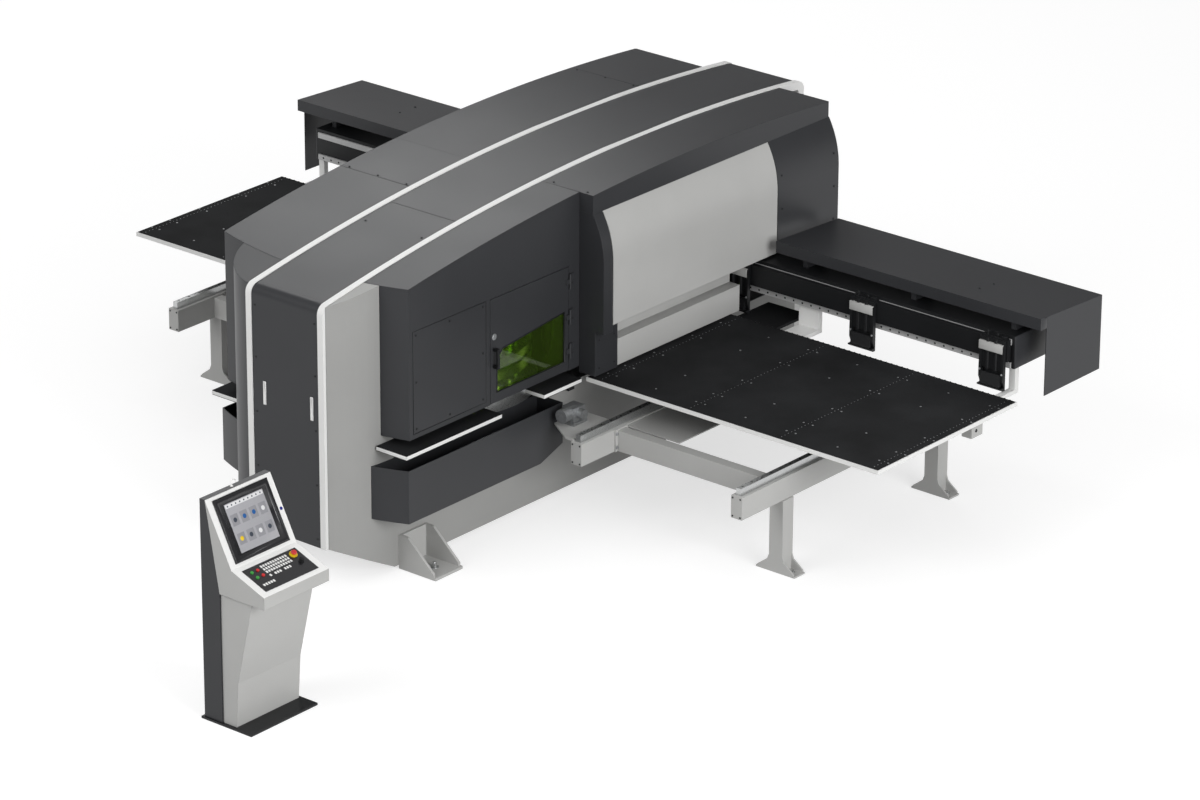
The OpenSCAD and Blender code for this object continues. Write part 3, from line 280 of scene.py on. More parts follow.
def bristles(name, colour):
    """Dense brush surface of a sheet table"""
    finish, tree, shader = new_finish(name)
    tufts = object_noise(tree, 150.0, 3.0)
    drift = object_noise(tree, 2.2, 4.0)
    mix = tree.nodes.new("ShaderNodeMath")
    mix.operation = "MULTIPLY_ADD"
    mix.inputs[1].default_value = 0.5
    tree.links.new(tufts.outputs["Fac"], mix.inputs[0])
    tree.links.new(drift.outputs["Fac"], mix.inputs[2])
    tone = ramp_between(tree, mix.outputs["Value"], shade(colour, 0.6), shade(colour, 1.5), 0.5, 1.0)
    tree.links.new(tone.outputs["Color"], shader.inputs["Base Color"])
    shader.inputs["Roughness"].default_value = 0.8
    shader.inputs["Specular IOR Level"].default_value = 0.15
    bump_from(tree, shader, tufts.outputs["Fac"], 0.4, 0.002)
    return finish


def moulded(name, colour, roughness=0.3, coat=0.0):
    """Moulded plastic with a faint texture"""
    finish, tree, shader = new_finish(name)
    grain = object_noise(tree, 900.0, 2.0)
    tone = ramp_between(tree, grain.outputs["Fac"], shade(colour, 0.92), shade(colour, 1.06))
    tree.links.new(tone.outputs["Color"], shader.inputs["Base Color"])
    shader.inputs["Roughness"].default_value = roughness
    shader.inputs["Coat Weight"].default_value = coat
    bump_from(tree, shader, grain.outputs["Fac"], 0.1, 0.0002)
    return finish


def laser_pane(name, colour):
    """Tinted safety glass with a faint drift of tone"""
    finish, tree, shader = new_finish(name)
    drift = object_noise(tree, 4.0, 2.0, (1, 1, 0.4))
    tone = ramp_between(tree, drift.outputs["Fac"], shade(colour, 0.85), shade(colour, 1.0), 0.4, 0.7)
    tree.links.new(tone.outputs["Color"], shader.inputs["Base Color"])
    shader.inputs["Roughness"].default_value = 0.03
    shader.inputs["Transmission Weight"].default_value = 0.95
    shader.inputs["IOR"].default_value = 1.45
    return finish


# Modelling steps that the pieces share

def alone(obj):
    """Only this object is selected and active"""
    bpy.ops.object.select_all(action="DESELECT")
    obj.select_set(True)
    bpy.context.view_layer.objects.active = obj


def round_edges(obj, width):
    """Bevels the sharp edges and smooths the faces between"""
    alone(obj)
    step = obj.modifiers.new("Edges", "BEVEL")
    step.width = width
    step.segments = 2
    step.limit_method = "ANGLE"
    step.angle_limit = math.radians(40)
    bpy.ops.object.modifier_apply(modifier=step.name)
    bpy.ops.object.shade_smooth_by_angle(angle=math.radians(35))
    return obj


def settle(obj):
    """Puts the object's place, turn and size into its mesh"""
    alone(obj)
    bpy.ops.object.transform_apply(location=True, rotation=True, scale=True)
    return obj


def slab(low, high, edge):
    """A rounded block between two corners"""
    bpy.ops.object.select_all(action="DESELECT")
    low, high = Vector(low), Vector(high)
    bpy.ops.mesh.primitive_cube_add(size=1, location=(low + high) / 2)
    obj = bpy.context.object
    obj.scale = high - low
    settle(obj)
    return round_edges(obj, edge)


def disc(radius, height, sides=24, edge=0.001, base=(0, 0, 0), axis=(0, 0, 1)):
    """A turned plug that stands on a point, along an axis, with a softened rim"""
    bpy.ops.object.select_all(action="DESELECT")
    bpy.ops.mesh.primitive_cylinder_add(vertices=sides, radius=radius, depth=height,
                                        location=(0, 0, height / 2))
    obj = bpy.context.object
    settle(obj)
    round_edges(obj, edge)
    obj.rotation_mode = "QUATERNION"
    obj.rotation_quaternion = Vector((0, 0, 1)).rotation_difference(Vector(axis).normalized())
    obj.location = base
    return settle(obj)


def push_in(obj, direction, margin, depth):
    """Insets the faces that look one way and sinks them"""
    alone(obj)
    bpy.ops.object.mode_set(mode="EDIT")
    bpy.ops.mesh.select_all(action="DESELECT")
    bpy.ops.object.mode_set(mode="OBJECT")
    way = Vector(direction).normalized()
    far = max(way.dot(v.co) for v in obj.data.vertices)
    for face in obj.data.polygons:
        face.select = face.normal.dot(way) > 0.98 and way.dot(face.center) > far - 1e-4
    bpy.ops.object.mode_set(mode="EDIT")
    bpy.ops.mesh.select_mode(type="FACE")
    bpy.ops.mesh.inset(thickness=margin, depth=0)
    bpy.ops.mesh.extrude_region_move(TRANSFORM_OT_translate={"value": tuple(-way * depth)})
    bpy.ops.object.mode_set(mode="OBJECT")
    return obj


def copies(first, places):
    """One object of copies of a piece, moved by each place, and the piece itself taken away"""
    made = []
    for place in places:
        other = first.copy()
        other.data = first.data.copy()
        other.data.transform(Matrix.Translation(place))
        bpy.context.scene.collection.objects.link(other)
        made.append(other)
    bpy.data.objects.remove(first)
    return joined(made)


def joined(objs):
    """Several objects as one mesh"""
    bpy.ops.object.select_all(action="DESELECT")
    for obj in objs:
        obj.select_set(True)
    bpy.context.view_layer.objects.active = objs[0]
    if len(objs) > 1:
        bpy.ops.object.join()
    return bpy.context.view_layer.objects.active


def deliver(obj, name, finish, body):
    """Names a finished piece, gives it its finish and sets it on its body"""
    obj.name = name
    obj.data.name = name
    put_finish(obj, bpy.data.materials[finish])
    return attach(obj, body)


def socket_screw(radius, height, axis):
    """A button-head screw with its socket, standing on the origin"""
    screw = disc(radius, height, 12, radius * 0.25, axis=axis)
    return push_in(screw, axis, radius * 0.28, height * 0.4)


# The roof's arc, with the sizes that the part's source gives it
ROOF_R = 17.83
ROOF_Y = 0.7
ROOF_TOP = 2.262
# A height above the whole machine, from which places for screws are found
SKY = 3
# The machine's two sides, and places along X of the table beams and of the clamps
SIDES = (-1, 1)
BEAM_X = (1.163, 2.515)
CLAMP_X = (0.84, 1.92, 3.0)
# The console's middle, and the upper edge and the slope of its screen and of its shelf
CONSOLE_Y = -4.16
SCREEN_EDGE = (1.233, CONSOLE_Y, 1.48)
SCREEN_SLOPE = math.atan2(0.41, 0.212)
SHELF_EDGE = (1.445, CONSOLE_Y, 1.07)
SHELF_SLOPE = math.atan2(0.103, 0.268)


def screws_on(node, starts, way, radius):
    """Screws where parallel lines meet a node's surface, as one piece"""
    bpy.context.view_layer.update()
    made = []
    for start in starts:
        hit, place, normal, _ = frame["nodes"][node].ray_cast(Vector(start), Vector(way))
        if not hit:
            raise RuntimeError("No surface for a screw on " + node)
        screw = socket_screw(radius, radius / 2, normal)
        screw.location = place
        made.append(settle(screw))
    return joined(made)


def roof_height(y):
    """Height of the roof's arc at a place along the machine"""
    return ROOF_TOP - ROOF_R + math.sqrt(ROOF_R ** 2 - (y - ROOF_Y) ** 2)


# The finish that each node of the frame carries
FINISH_OF = {
    "Charcoal paint": "nose_panel spine_cover hood_right hood_left service_panel roof_right roof_left "
                      "cheeks rear_panels back_wall guard_housings catch_bins access_door "
                      "crossbeam_covers console_column door_hinges",
    "Silver paint": "bridge_frame floor_feet side_panels throat_guards table_beams table_stand "
                    "console_body stop_box",
    "Bed paint with painted shade": "bed_frame",
    "Flank paint": "spine_flanks",
    "White paint": "edge_strips table_frames",
    "Desk paint with painted top light": "console_desk",
    "Black paint": "crossbeam clamp_carriage clamp_bodies clamp_jaw_1 clamp_jaw_2 clamp_jaw_3 "
                   "laser_head door_pull bearing_blocks console_base feed_knob",
    "Bristles": "fixed_tables side_tables",
    "Ground steel": "head_bearings laser_bracket upper_turret lower_turret ram table_rails",
    "Rail steel": "crossbeam_rails",
    "Cast alloy": "drive_motor",
    "Laser pane": "door_window",
    "Screen plastic": "console_screen console_keypad",
    "Yellow plastic": "estop_collar",
    "Red plastic": "console_estop hold_button halt_button table_estop",
    "Green plastic": "start_button resume_button",
}

# Colours of the display's sheet and of what it shows
DISPLAY_COLOURS = {
    "grey": (0.36, 0.36, 0.38),
    "tile": (0.27, 0.27, 0.29),
    "white": (0.7, 0.7, 0.71),
    "dark": (0.05, 0.06, 0.08),
    "blue": (0.02, 0.1, 0.3),
}


def put_finish(obj, finish):
    """The finish replaces whatever the object carried"""
    obj.data.materials.clear()
    obj.data.materials.append(finish)


class MACHINE_OT_finishes(bpy.types.Operator):
    """Makes the finishes and puts them on the frame's nodes"""
    bl_idname = "machine.finishes"
    bl_label = "Finishes"

    def execute(self, context):
        colours = context.scene.machine_colours
        paint("Charcoal paint", colours.charcoal, roughness=0.38)
        paint("Silver paint", colours.silver, roughness=0.42, specular=0.35, mottle=0.03)
        # Painted shade: the bed's faces above 0.775 m, in the shade under the turret and the tables, are
        # painted black
        painted_shade_top = (("Z", "GREATER_THAN", 0.775),)
        two_tone_and_painted_light("Bed paint with painted shade", colours.frame, colours.black, painted_shade_top)
        dark_nose = (("X", "LESS_THAN", -0.15), ("Y", "LESS_THAN", 0.0), ("Z", "GREATER_THAN", 0.428))
        two_tone_and_painted_light("Flank paint", colours.frame, colours.charcoal, dark_nose)
        paint("White paint", colours.white, roughness=0.4, specular=0.35, mottle=0.02, fold=0.002)
        # Painted light: the console desk's faces that look upwards are painted white, lighter than its
        # silver sides, as if lit from above
        painted_light_up = (("Z", "GREATER_THAN", 0.15),)
        two_tone_and_painted_light("Desk paint with painted top light", colours.silver, colours.white, painted_light_up, "Normal")
        paint("Black paint", colours.black, roughness=0.42, mottle=0.1, fold=0.002)
        bristles("Bristles", colours.brush)
        ground_steel("Ground steel", colours.steel)
        ground_steel("Rail steel", (0.5, 0.5, 0.5), roughness=0.4, stretch=(40, 1, 1), metallic=0.2)
        ground_steel("Cast alloy", (0.4, 0.41, 0.42), roughness=0.45, stretch=(1, 1, 1))
        laser_pane("Laser pane", colours.pane)
        moulded("Screen plastic", (0.012, 0.012, 0.014), roughness=0.25, coat=0.3)
        moulded("Yellow plastic", colours.yellow, roughness=0.4)
        for name, colour in (("Red", colours.red), ("Green", colours.green), ("Blue", colours.blue)):
            moulded(name + " plastic", colour, roughness=0.3, coat=0.3)
        for name, colour in DISPLAY_COLOURS.items():
            moulded("Display " + name, colour, roughness=0.2, coat=0.4)
        for finish, names in FINISH_OF.items():
            for name in names.split():
                put_finish(frame["nodes"][name], bpy.data.materials[finish])
        return {"FINISHED"}


# Pieces of trim

def panel_screws(head):
    """Screws of the service panel and of the nose panel"""
    margin = 0.03
    low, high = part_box("service_panel")
    rows = [(high.x, y, z) for y in (low.y + margin, (low.y + high.y) / 2, high.y - margin)
            for z in (low.z + margin, (low.z + high.z) / 2, high.z - margin)]
    middle = 4
    del rows[middle]
    screws = copies(socket_screw(head, head / 2, (1, 0, 0)), rows)
    deliver(screws, "cover_screws", "Black paint", "machine")

    low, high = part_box("nose_panel")
    rows = [(x, low.y, z) for x in (low.x + margin, high.x - margin)
            for z in (0.34, 0.72, 1.1, 1.48, 1.84)]
    screws = copies(socket_screw(head * 0.8, head / 2, (0, -1, 0)), rows)
    deliver(screws, "nose_screws", "Black paint", "machine")


def roof_screws(head):
    """Screws along the joints of the roof sheets, found from above"""
    down = (0, 0, -1)
    left = (-0.749, -0.494, -0.239)
    tops = [screws_on("hood_left", [(x, -0.956, SKY) for x in left], down, head),
            screws_on("spine_cover", [(x, -1.518, SKY) for x in (-0.096, 0.394)], down, head),
            screws_on("roof_left", [(x, 1.40, SKY) for x in left], down, head),
            screws_on("roof_right", [(x, -0.385, SKY) for x in (0.556, 0.849)], down, head)]
    deliver(joined(tops), "roof_screws", "Black paint", "machine")


def side_screws(head):
    """Screws of the rear panels, the guard housings and the back wall"""
    sides = []
    for way in SIDES:
        far = -3 * way
        starts = [(far, y, z) for y in (1.49, 2.07) for z in (1.38, 1.62, 1.86)]
        sides.append(screws_on("rear_panels", starts, (way, 0, 0), head))
        starts = [(far, y, z) for y in (-0.37, -0.215) for z in (1.0, 1.2)]
        sides.append(screws_on("guard_housings", starts, (way, 0, 0), head * 0.8))
    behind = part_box("back_wall")[1].y + 1
    starts = [(x, behind, z) for x in (-0.76, -0.24, 0.53, 0.86) for z in (0.84, 1.3, 1.76, 2.0)]
    sides.append(screws_on("back_wall", starts, (0, -1, 0), head))
    deliver(joined(sides), "side_screws", "Black paint", "machine")


def hat_screws(head):
    """Screws in the tops of the crossbeam's covers"""
    starts = [(2.676, 1.51, SKY), (2.691, 1.651, SKY), (-2.605, 1.609, SKY), (-2.614, 1.787, SKY)]
    hats = screws_on("crossbeam_covers", starts, (0, 0, -1), head)
    deliver(hats, "hat_screws", "Black paint", "y_carriage")


def floor_bolts():
    """Anchor bolts of the bed's feet and bolts of the table legs, with their washers"""
    washer = 0.005
    bolt = joined([disc(0.034, washer, 24), disc(0.024, 0.022, 6, 0.0015, (0, 0, washer)),
                   disc(0.012, 0.034, 16, 0.0015, (0, 0, washer))])
    rows = [(x, y, 0.02) for x in (-0.79, 0.79) for y in (-1.866, 1.866)]
    deliver(copies(bolt, rows), "anchor_bolts", "Ground steel", "machine")
    washer = 0.003
    bolt = joined([disc(0.02, washer, 20), disc(0.014, 0.012, 6, 0.001, (0, 0, washer))])
    rows = [(side * (BEAM_X[1] + dx), y, 0.012) for side in SIDES for dx in (-0.1, 0.1)
            for y in (-0.396, 1.297)]
    deliver(copies(bolt, rows), "leg_bolts", "Ground steel", "machine")


def beam_fittings():
    """Bolts of the cross tubes, end plugs of the beams and the plugs in the rails"""
    bolts = []
    for side in SIDES:
        bolt = joined([disc(0.013, 0.002, 16, 0.0004, axis=(side, 0, 0)),
                       disc(0.009, 0.009, 6, 0.001, axis=(side, 0, 0))])
        rows = [(side * 1.22, y + dy, z) for y in (-0.506, 1.187) for dy in (-0.012, 0.092)
                for z in (0.553, 0.648)]
        bolts.append(copies(bolt, rows))
    deliver(joined(bolts), "flange_bolts", "Cast alloy", "machine")

    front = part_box("table_beams")[0].y
    rows = [(side * (x + dx), front, z) for side in SIDES for x in BEAM_X for dx in (-0.031, 0.031)
            for z in (0.537, 0.665)]
    plugs = copies(socket_screw(0.007, 0.003, (0, -1, 0)), rows)
    deliver(plugs, "beam_plugs", "Black paint", "machine")
    low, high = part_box("table_rails")
    pitch = 0.1
    rows = [(side * x, low.y + 0.04 + i * pitch, high.z - 0.001) for side in SIDES for x in BEAM_X
            for i in range(22)]
    plugs = copies(disc(0.0075, 0.0012, 12, 0.0002), rows)
    deliver(plugs, "table_rail_plugs", "Black paint", "machine")

    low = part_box("crossbeam_rails")[0]
    pitch = 0.075
    rows = [(low.x + 0.05 + i * pitch, low.y, low.z + 0.02) for i in range(82)]
    screws = copies(disc(0.0075, 0.0012, 12, 0.0004, axis=(0, -1, 0)), rows)
    deliver(screws, "rail_screws", "Black paint", "y_carriage")


class MACHINE_OT_fasteners(bpy.types.Operator):
    """Screws of the covers, anchor bolts, flange bolts and the plugs of the rails"""
    bl_idname = "machine.fasteners"
    bl_label = "Fasteners"

    def execute(self, context):
        head = context.scene.machine_trim.screw_radius
        panel_screws(head)
        roof_screws(head)
        side_screws(head)
        hat_screws(head)
        floor_bolts()
        beam_fittings()
        return {"FINISHED"}


class MACHINE_OT_nose_grips(bpy.types.Operator):
    """Two slim recessed grips in the nose panel"""
    bl_idname = "machine.nose_grips"
    bl_label = "Nose grips"

    def execute(self, context):
        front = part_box("nose_panel")[0].y
        half = 0.012
        foot, top = 1.165, 1.327
        grips = []
        for x in (-0.043, 0.37):
            grip = slab((x - half, front - 0.005, foot), (x + half, front + 0.003, top), 0.003)
            grips.append(push_in(grip, (0, -1, 0), 0.005, 0.0015))
        deliver(joined(grips), "nose_grips", "White paint", "machine")
        return {"FINISHED"}


class MACHINE_OT_roof_seams(bpy.types.Operator):
    """Dark joints between the roof sheets, and between the sheets of the back wall"""
    bl_idname = "machine.roof_seams"
    bl_label = "Roof seams"

    def execute(self, context):
        half = context.scene.machine_trim.seam_width / 2
        proud = 0.0006
        edge = 0.0003
        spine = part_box("spine_cover")
        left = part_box("hood_left")
        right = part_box("roof_right")
        runs = [(spine[0].x, spine[1].x, -1.217), (left[0].x, left[1].x, -0.97),
                (left[0].x, left[1].x, 1.42), (right[0].x, 0.8, -0.412)]
        seams = []
        for x0, x1, y in runs:
            seam = slab((x0, -half, -0.004), (x1, half, proud), edge)
            seam.rotation_euler.x = -math.asin((y - ROOF_Y) / ROOF_R)
            seam.location = (0, y, roof_height(y))
            seams.append(settle(seam))
        low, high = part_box("back_wall")
        top = 1.98
        for x in (-0.5, 0.7):
            seams.append(slab((x - half, high.y - 0.003, low.z), (x + half, high.y + proud, top), edge))
        deliver(joined(seams), "roof_seams", "Black paint", "machine")
        return {"FINISHED"}


class MACHINE_OT_grilles(bpy.types.Operator):
    """Louvred vents in the back wall"""
    bl_idname = "machine.grilles"
    bl_label = "Back vents"

    def execute(self, context):
        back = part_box("back_wall")[1].y
        lowest = -0.078
        pitch = 0.026
        slats = []
        for i in range(7):
            slat = slab((-0.085, -0.002, -0.009), (0.085, 0.002, 0.009), 0.0012)
            slat.rotation_euler.x = math.radians(35)
            slat.location = (0, 0.006, lowest + i * pitch)
            slats.append(settle(slat))
        surround = slab((-0.105, -0.002, -0.105), (0.105, 0.011, 0.105), 0.003)
        push_in(surround, (0, 1, 0), 0.016, 0.011)
        vent = joined([surround, *slats])
        rows = [(x, back, z) for x in (-0.355, 0.6) for z in (1.05, 1.55)]
        deliver(copies(vent, rows), "back_vents", "Charcoal paint", "machine")
        return {"FINISHED"}


def outline_tube(points, radius, closed=True):
    """A round bead along straight runs between points, as a mesh"""
    bpy.ops.object.select_all(action="DESELECT")
    line = bpy.data.curves.new("bead", "CURVE")
    line.dimensions = "3D"
    line.bevel_depth = radius
    line.bevel_resolution = 2
    spline = line.splines.new("POLY")
    spline.points.add(len(points) - 1)
    for point, place in zip(spline.points, points):
        point.co = (*place, 1)
    spline.use_cyclic_u = closed
    obj = bpy.data.objects.new("bead", line)
    bpy.context.scene.collection.objects.link(obj)
    alone(obj)
    bpy.ops.object.convert(target="MESH")
    obj = bpy.context.object
    bpy.ops.object.shade_smooth_by_angle(angle=math.radians(50))
    return obj


class MACHINE_OT_door_trim(bpy.types.Operator):
    """Rubber bead round the window, the door's lock and the dark joint round the service panel"""
    bl_idname = "machine.door_trim"
    bl_label = "Door trim"

    def execute(self, context):
        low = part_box("access_door")[0]
        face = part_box("hood_right")[1].x
        y0 = low.y + 0.062
        y1 = -0.562
        z0 = low.z + 0.068
        points = [(face, y0, z0), (face, y1, z0), (face, y1, z0 + 0.358),
                  (face, y0 + 0.06, z0 + 0.296), (face, y0, z0 + 0.236)]
        deliver(outline_tube(points, 0.005), "window_bead", "Black paint", "door")
        y = low.y + 0.034
        z = z0 + 0.4
        lock = joined([disc(0.022, 0.006, 24, 0.001, (face, y, z), (1, 0, 0)),
                       slab((face + 0.005, y - 0.003, z - 0.014),
                            (face + 0.012, y + 0.003, z + 0.014), 0.001)])
        deliver(lock, "door_lock", "Cast alloy", "door")
        low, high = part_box("service_panel")
        points = [(face, low.y, low.z), (face, high.y, low.z),
                  (face, high.y, high.z), (face, low.y, high.z)]
        deliver(outline_tube(points, 0.0035), "service_joint", "Black paint", "machine")
        return {"FINISHED"}


class MACHINE_OT_guards(bpy.types.Operator):
    """Stepped throat guards, built in place of the frame's own"""
    bl_idname = "machine.guards"
    bl_label = "Throat guards"

    def execute(self, context):
        low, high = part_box("throat_guards")
        wall, step = 0.01, 0.088
        foot, ledge, top = 0.95, 1.14, 1.3
        sheets = ((0, wall, foot, ledge), (wall, step, ledge - wall, ledge),
                  (step, step + wall, ledge - wall, top))
        walls = []
        for outer, inward in ((high.x, -1), (low.x, 1)):
            for x0, x1, z0, z1 in sheets:
                xs = sorted((outer + inward * x0, outer + inward * x1))
                walls.append(slab((xs[0], low.y, z0), (xs[1], high.y, z1), 0.0015))
        guards = joined(walls)
        deliver(guards, "guard_sheets", "Silver paint", "machine")
        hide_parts("throat_guards")
        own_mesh(guards)
        return {"FINISHED"}


def on_slope(obj, edge, slope):
    """Lays a piece that was made flat onto a slope that falls towards +X"""
    obj.rotation_mode = "XYZ"
    obj.rotation_euler = (0, slope, 0)
    obj.location = edge
    return settle(obj)


def on_screen(obj, name, finish):
    """Lays a flat piece on the console's screen and delivers it"""
    deliver(on_slope(obj, SCREEN_EDGE, SCREEN_SLOPE), name, finish, "machine")


def console_display():
    """Bezel, display sheet, bar and tiles of the console's screen"""
    low, top = 0.0096, 0.0102
    bezel = slab((0.03, -0.236, 0.007), (0.43, 0.236, 0.011), 0.002)
    push_in(bezel, (0, 0, 1), 0.03, 0.002)
    on_screen(bezel, "screen_bezel", "Screen plastic")
    sheet = slab((0.075, -0.17, 0.0085), (0.388, 0.17, 0.0098), 0.0003)
    on_screen(sheet, "display", "Display grey")
    bar = slab((0.08, -0.165, low), (0.104, 0.165, top), 0.0002)
    on_screen(bar, "display_bar", "Display white")
    dot = disc(0.006, 0.0003, 8, 0.0001, (0, 0, top))
    rows = [(0.092, -0.145 + j * 0.036, 0) for j in range(9)]
    on_screen(copies(dot, rows), "bar_marks", "Display dark")
    tile = slab((-0.036, -0.031, low), (0.036, 0.031, top), 0.0003)
    rows = [(0.185 + i * 0.12, -0.123 + j * 0.082, 0) for i in range(2) for j in range(4)]
    on_screen(copies(tile, rows), "display_tiles", "Display tile")
    marks = {"Display white": (3, 6), "Display blue": (1, 2), "Display dark": (0, 5, 7),
             "Yellow plastic": (4,)}
    for n, (finish, picks) in enumerate(marks.items()):
        mark = disc(0.015, 0.0004, 16, 0.0001, (0, 0, top))
        spots = copies(mark, [rows[i] for i in picks])
        on_screen(spots, "tile_marks_%d" % n, finish)


def console_keys():
    """Keys on the console's shelf"""
    first = -0.095
    pitch = 0.0215
    key = slab((-0.009, -0.0065, 0.003), (0.009, 0.0065, 0.007), 0.0012)
    rows = [(0.066 + i * 0.026, first + j * pitch, 0) for i in range(3) for j in range(11)]
    rows += [(0.152, first + j * pitch, 0) for j in (0, 2, 3, 4, 6, 7, 8)]
    rows += [(0.2, -0.2 + j * pitch, 0) for j in range(5)]
    keys = on_slope(copies(key, rows), SHELF_EDGE, SHELF_SLOPE)
    deliver(keys, "keys", "White paint", "machine")


def console_head():
    """Port and hook of the console's head"""
    port = disc(0.011, 0.003, 20, 0.0008, (0.235, 0.268, 0))
    on_screen(port, "head_port", "Blue plastic")
    x = 1.212
    y0 = CONSOLE_Y - 0.03
    y1 = CONSOLE_Y + 0.006
    bend = [(x, y0, 1.485), (x, y0, 1.512), (x, CONSOLE_Y - 0.012, 1.526), (x, y1, 1.512), (x, y1, 1.502)]
    hook = joined([disc(0.01, 0.008, 16, 0.002, (x, y0, 1.479)), outline_tube(bend, 0.004, False)])
    deliver(hook, "top_hook", "White paint", "machine")


class MACHINE_OT_console(bpy.types.Operator):
    """Display with its tiles, keys, port and hook of the operator console"""
    bl_idname = "machine.console"
    bl_label = "Console"

    def execute(self, context):
        console_display()
        console_keys()
        console_head()
        return {"FINISHED"}


def brush_trim(stud_radius):
    """Studs, dotted joints and edge tufts of the moving tables"""
    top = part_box("side_tables")[1].z
    outermost = 3.285
    studs = []
    dots = []
    for side in SIDES:
        for x in (0.979, 1.736, 2.493, 3.25):
            for y in (-0.28, -0.1, 0.207, 0.614, 0.92):
                studs += [(side * min(x + dx, outermost), y, top) for dx in (-0.038, 0.038)]
            dots += [(side * x, -0.38 + i * 0.0353, top) for i in range(41)]
        for x in (1.357, 2.114, 2.874):
            studs += [(side * x, y, top) for y in (-0.28, 0.025, 0.614, 0.92)]
    stud = disc(stud_radius, 0.0012, 8, 0.0004)
    deliver(copies(stud, studs), "table_studs", "Cast alloy", "y_carriage")
    dot = disc(0.0035, 0.0008, 6, 0.0002)
    deliver(copies(dot, dots), "table_dots", "Cast alloy", "y_carriage")
    first = 0.9
    pitch = 0.0445
    tufts = [(side * (first + i * pitch), 1.08, top - 0.001) for side in SIDES for i in range(54)]
    tuft = disc(0.007, 0.005, 6, 0.001)
    deliver(copies(tuft, tufts), "edge_tufts", "Bristles", "y_carriage")


def fixed_table_trim(proud):
    """Light rims of the fixed tables, and black sheets of painted shade under the front ones"""
    edge = 0.862
    low, high = 0.907, 0.931
    rims = []
    shade_sheets = []
    for side in SIDES:
        for x0, y0, y1 in ((0.6, -2.204, -1.269), (0.7, -0.842, -0.46)):
            xs = sorted((side * (edge - proud), side * (edge + proud)))
            rims.append(slab((xs[0], y0, low), (xs[1], y1, high), 0.0006))
            xs = sorted((side * x0, side * (edge + proud)))
            rims.append(slab((xs[0], y0 - proud, low), (xs[1], y0 + proud, high), 0.0006))
        # Painted shade: a black sheet fills the open, shaded gap between the bed's top and each front
        # fixed table
        xs = sorted((side * 0.565, side * 0.59))
        shade_sheets.append(slab((xs[0], -2.03, 0.7795), (xs[1], -1.55, 0.9025), 0.002))
    deliver(joined(rims), "table_rims", "White paint", "machine")
    deliver(joined(shade_sheets), "table_shade_sheets", "Black paint", "machine")


class MACHINE_OT_tables(bpy.types.Operator):
    """Studs, dotted joints and edge tufts of the brush tables, light rims of the fixed ones and black
    sheets of painted shade under the front ones
    """
    bl_idname = "machine.tables"
    bl_label = "Table trim"

    def execute(self, context):
        trim = context.scene.machine_trim
        brush_trim(trim.stud_radius)
        fixed_table_trim(trim.rim_proud)
        return {"FINISHED"}


def crossbeam_trim():
    """End plates of the crossbeam and corner plates of its covers"""
    low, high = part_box("crossbeam")
    thick = 0.01
    plates = []
    for x in (low.x - thick, high.x):
        plates.append(slab((x, low.y, low.z), (x + thick, high.y, high.z), 0.002))
    deliver(joined(plates), "beam_ends", "Charcoal paint", "y_carriage")
    low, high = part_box("crossbeam_covers")
    thick = 0.006
    corners = []
    for x in (low.x, high.x - thick):
        corners.append(slab((x, low.y + 0.005, 1.378), (x + thick, low.y + 0.0682, 1.4565), 0.0008))
    deliver(joined(corners), "hat_corners", "Charcoal paint", "y_carriage")


def clamp_trim():
    """Face plates, back plates and valves of the clamps"""
    places = [(x, 0, 0) for x in CLAMP_X]
    half = 0.097
    front, back = 1.2025, 1.2417
    face = joined([slab((-half, front, 1.178), (half, 1.2062, 1.234), 0.0015),
                   slab((-half, front, 1.2325), (half, back, 1.2385), 0.0015)])
    deliver(copies(face, places), "clamp_plates", "Silver paint", "x_carriage")
    plate = slab((-0.098, 1.2378, 0.93), (0.098, back, 1.118), 0.0012)
    deliver(copies(plate, places), "clamp_backs", "Black paint", "x_carriage")
    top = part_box("clamp_bodies")[1].z
    seat = top - 0.001
    y = 1.257
    valve = joined([slab((0.05, 1.246, seat), (0.092, 1.27, top + 0.014), 0.002),
                    disc(0.006, 0.03, 12, 0.001, (-0.06, y, seat)),
                    disc(0.009, 0.006, 6, 0.001, (-0.06, y, seat)),
                    disc(0.006, 0.022, 12, 0.001, (0.02, y, seat))])
    deliver(copies(valve, places), "clamp_valves", "Black paint", "x_carriage")


def stop_box_trim():
    """Collar of the stop button on the table, and the plug in its box"""
    x, y, z = 3.247, 0.7445, 0.858
    radius = 0.0165
    turns = [i * math.pi / 8 for i in range(16)]
    ring = [(x + radius * math.cos(turn), y, z + radius * math.sin(turn)) for turn in turns]
    deliver(outline_tube(ring, 0.003), "stop_collar", "Yellow plastic", "y_carriage")
    plug = socket_screw(0.012, 0.003, (1, 0, 0))
    deliver(copies(plug, [(3.287, 0.67, z)]), "box_plug", "Black paint", "y_carriage")


def clamp_screws():
    """Two screws in the front of each clamp"""
    rows = [(x + dx, 1.2117, 1.03) for x in CLAMP_X for dx in (-0.09, 0.09)]
    screws = copies(socket_screw(0.008, 0.003, (0, -1, 0)), rows)
    deliver(screws, "clamp_screws", "Cast alloy", "x_carriage")


class MACHINE_OT_carriage(bpy.types.Operator):
    """Plates of the crossbeam, plates, valves and screws of the clamps, fittings of the stop box"""
    bl_idname = "machine.carriage"
    bl_label = "Carriage"

    def execute(self, context):
        crossbeam_trim()
        clamp_trim()
        stop_box_trim()
        clamp_screws()
        return {"FINISHED"}


# Floor, light and camera

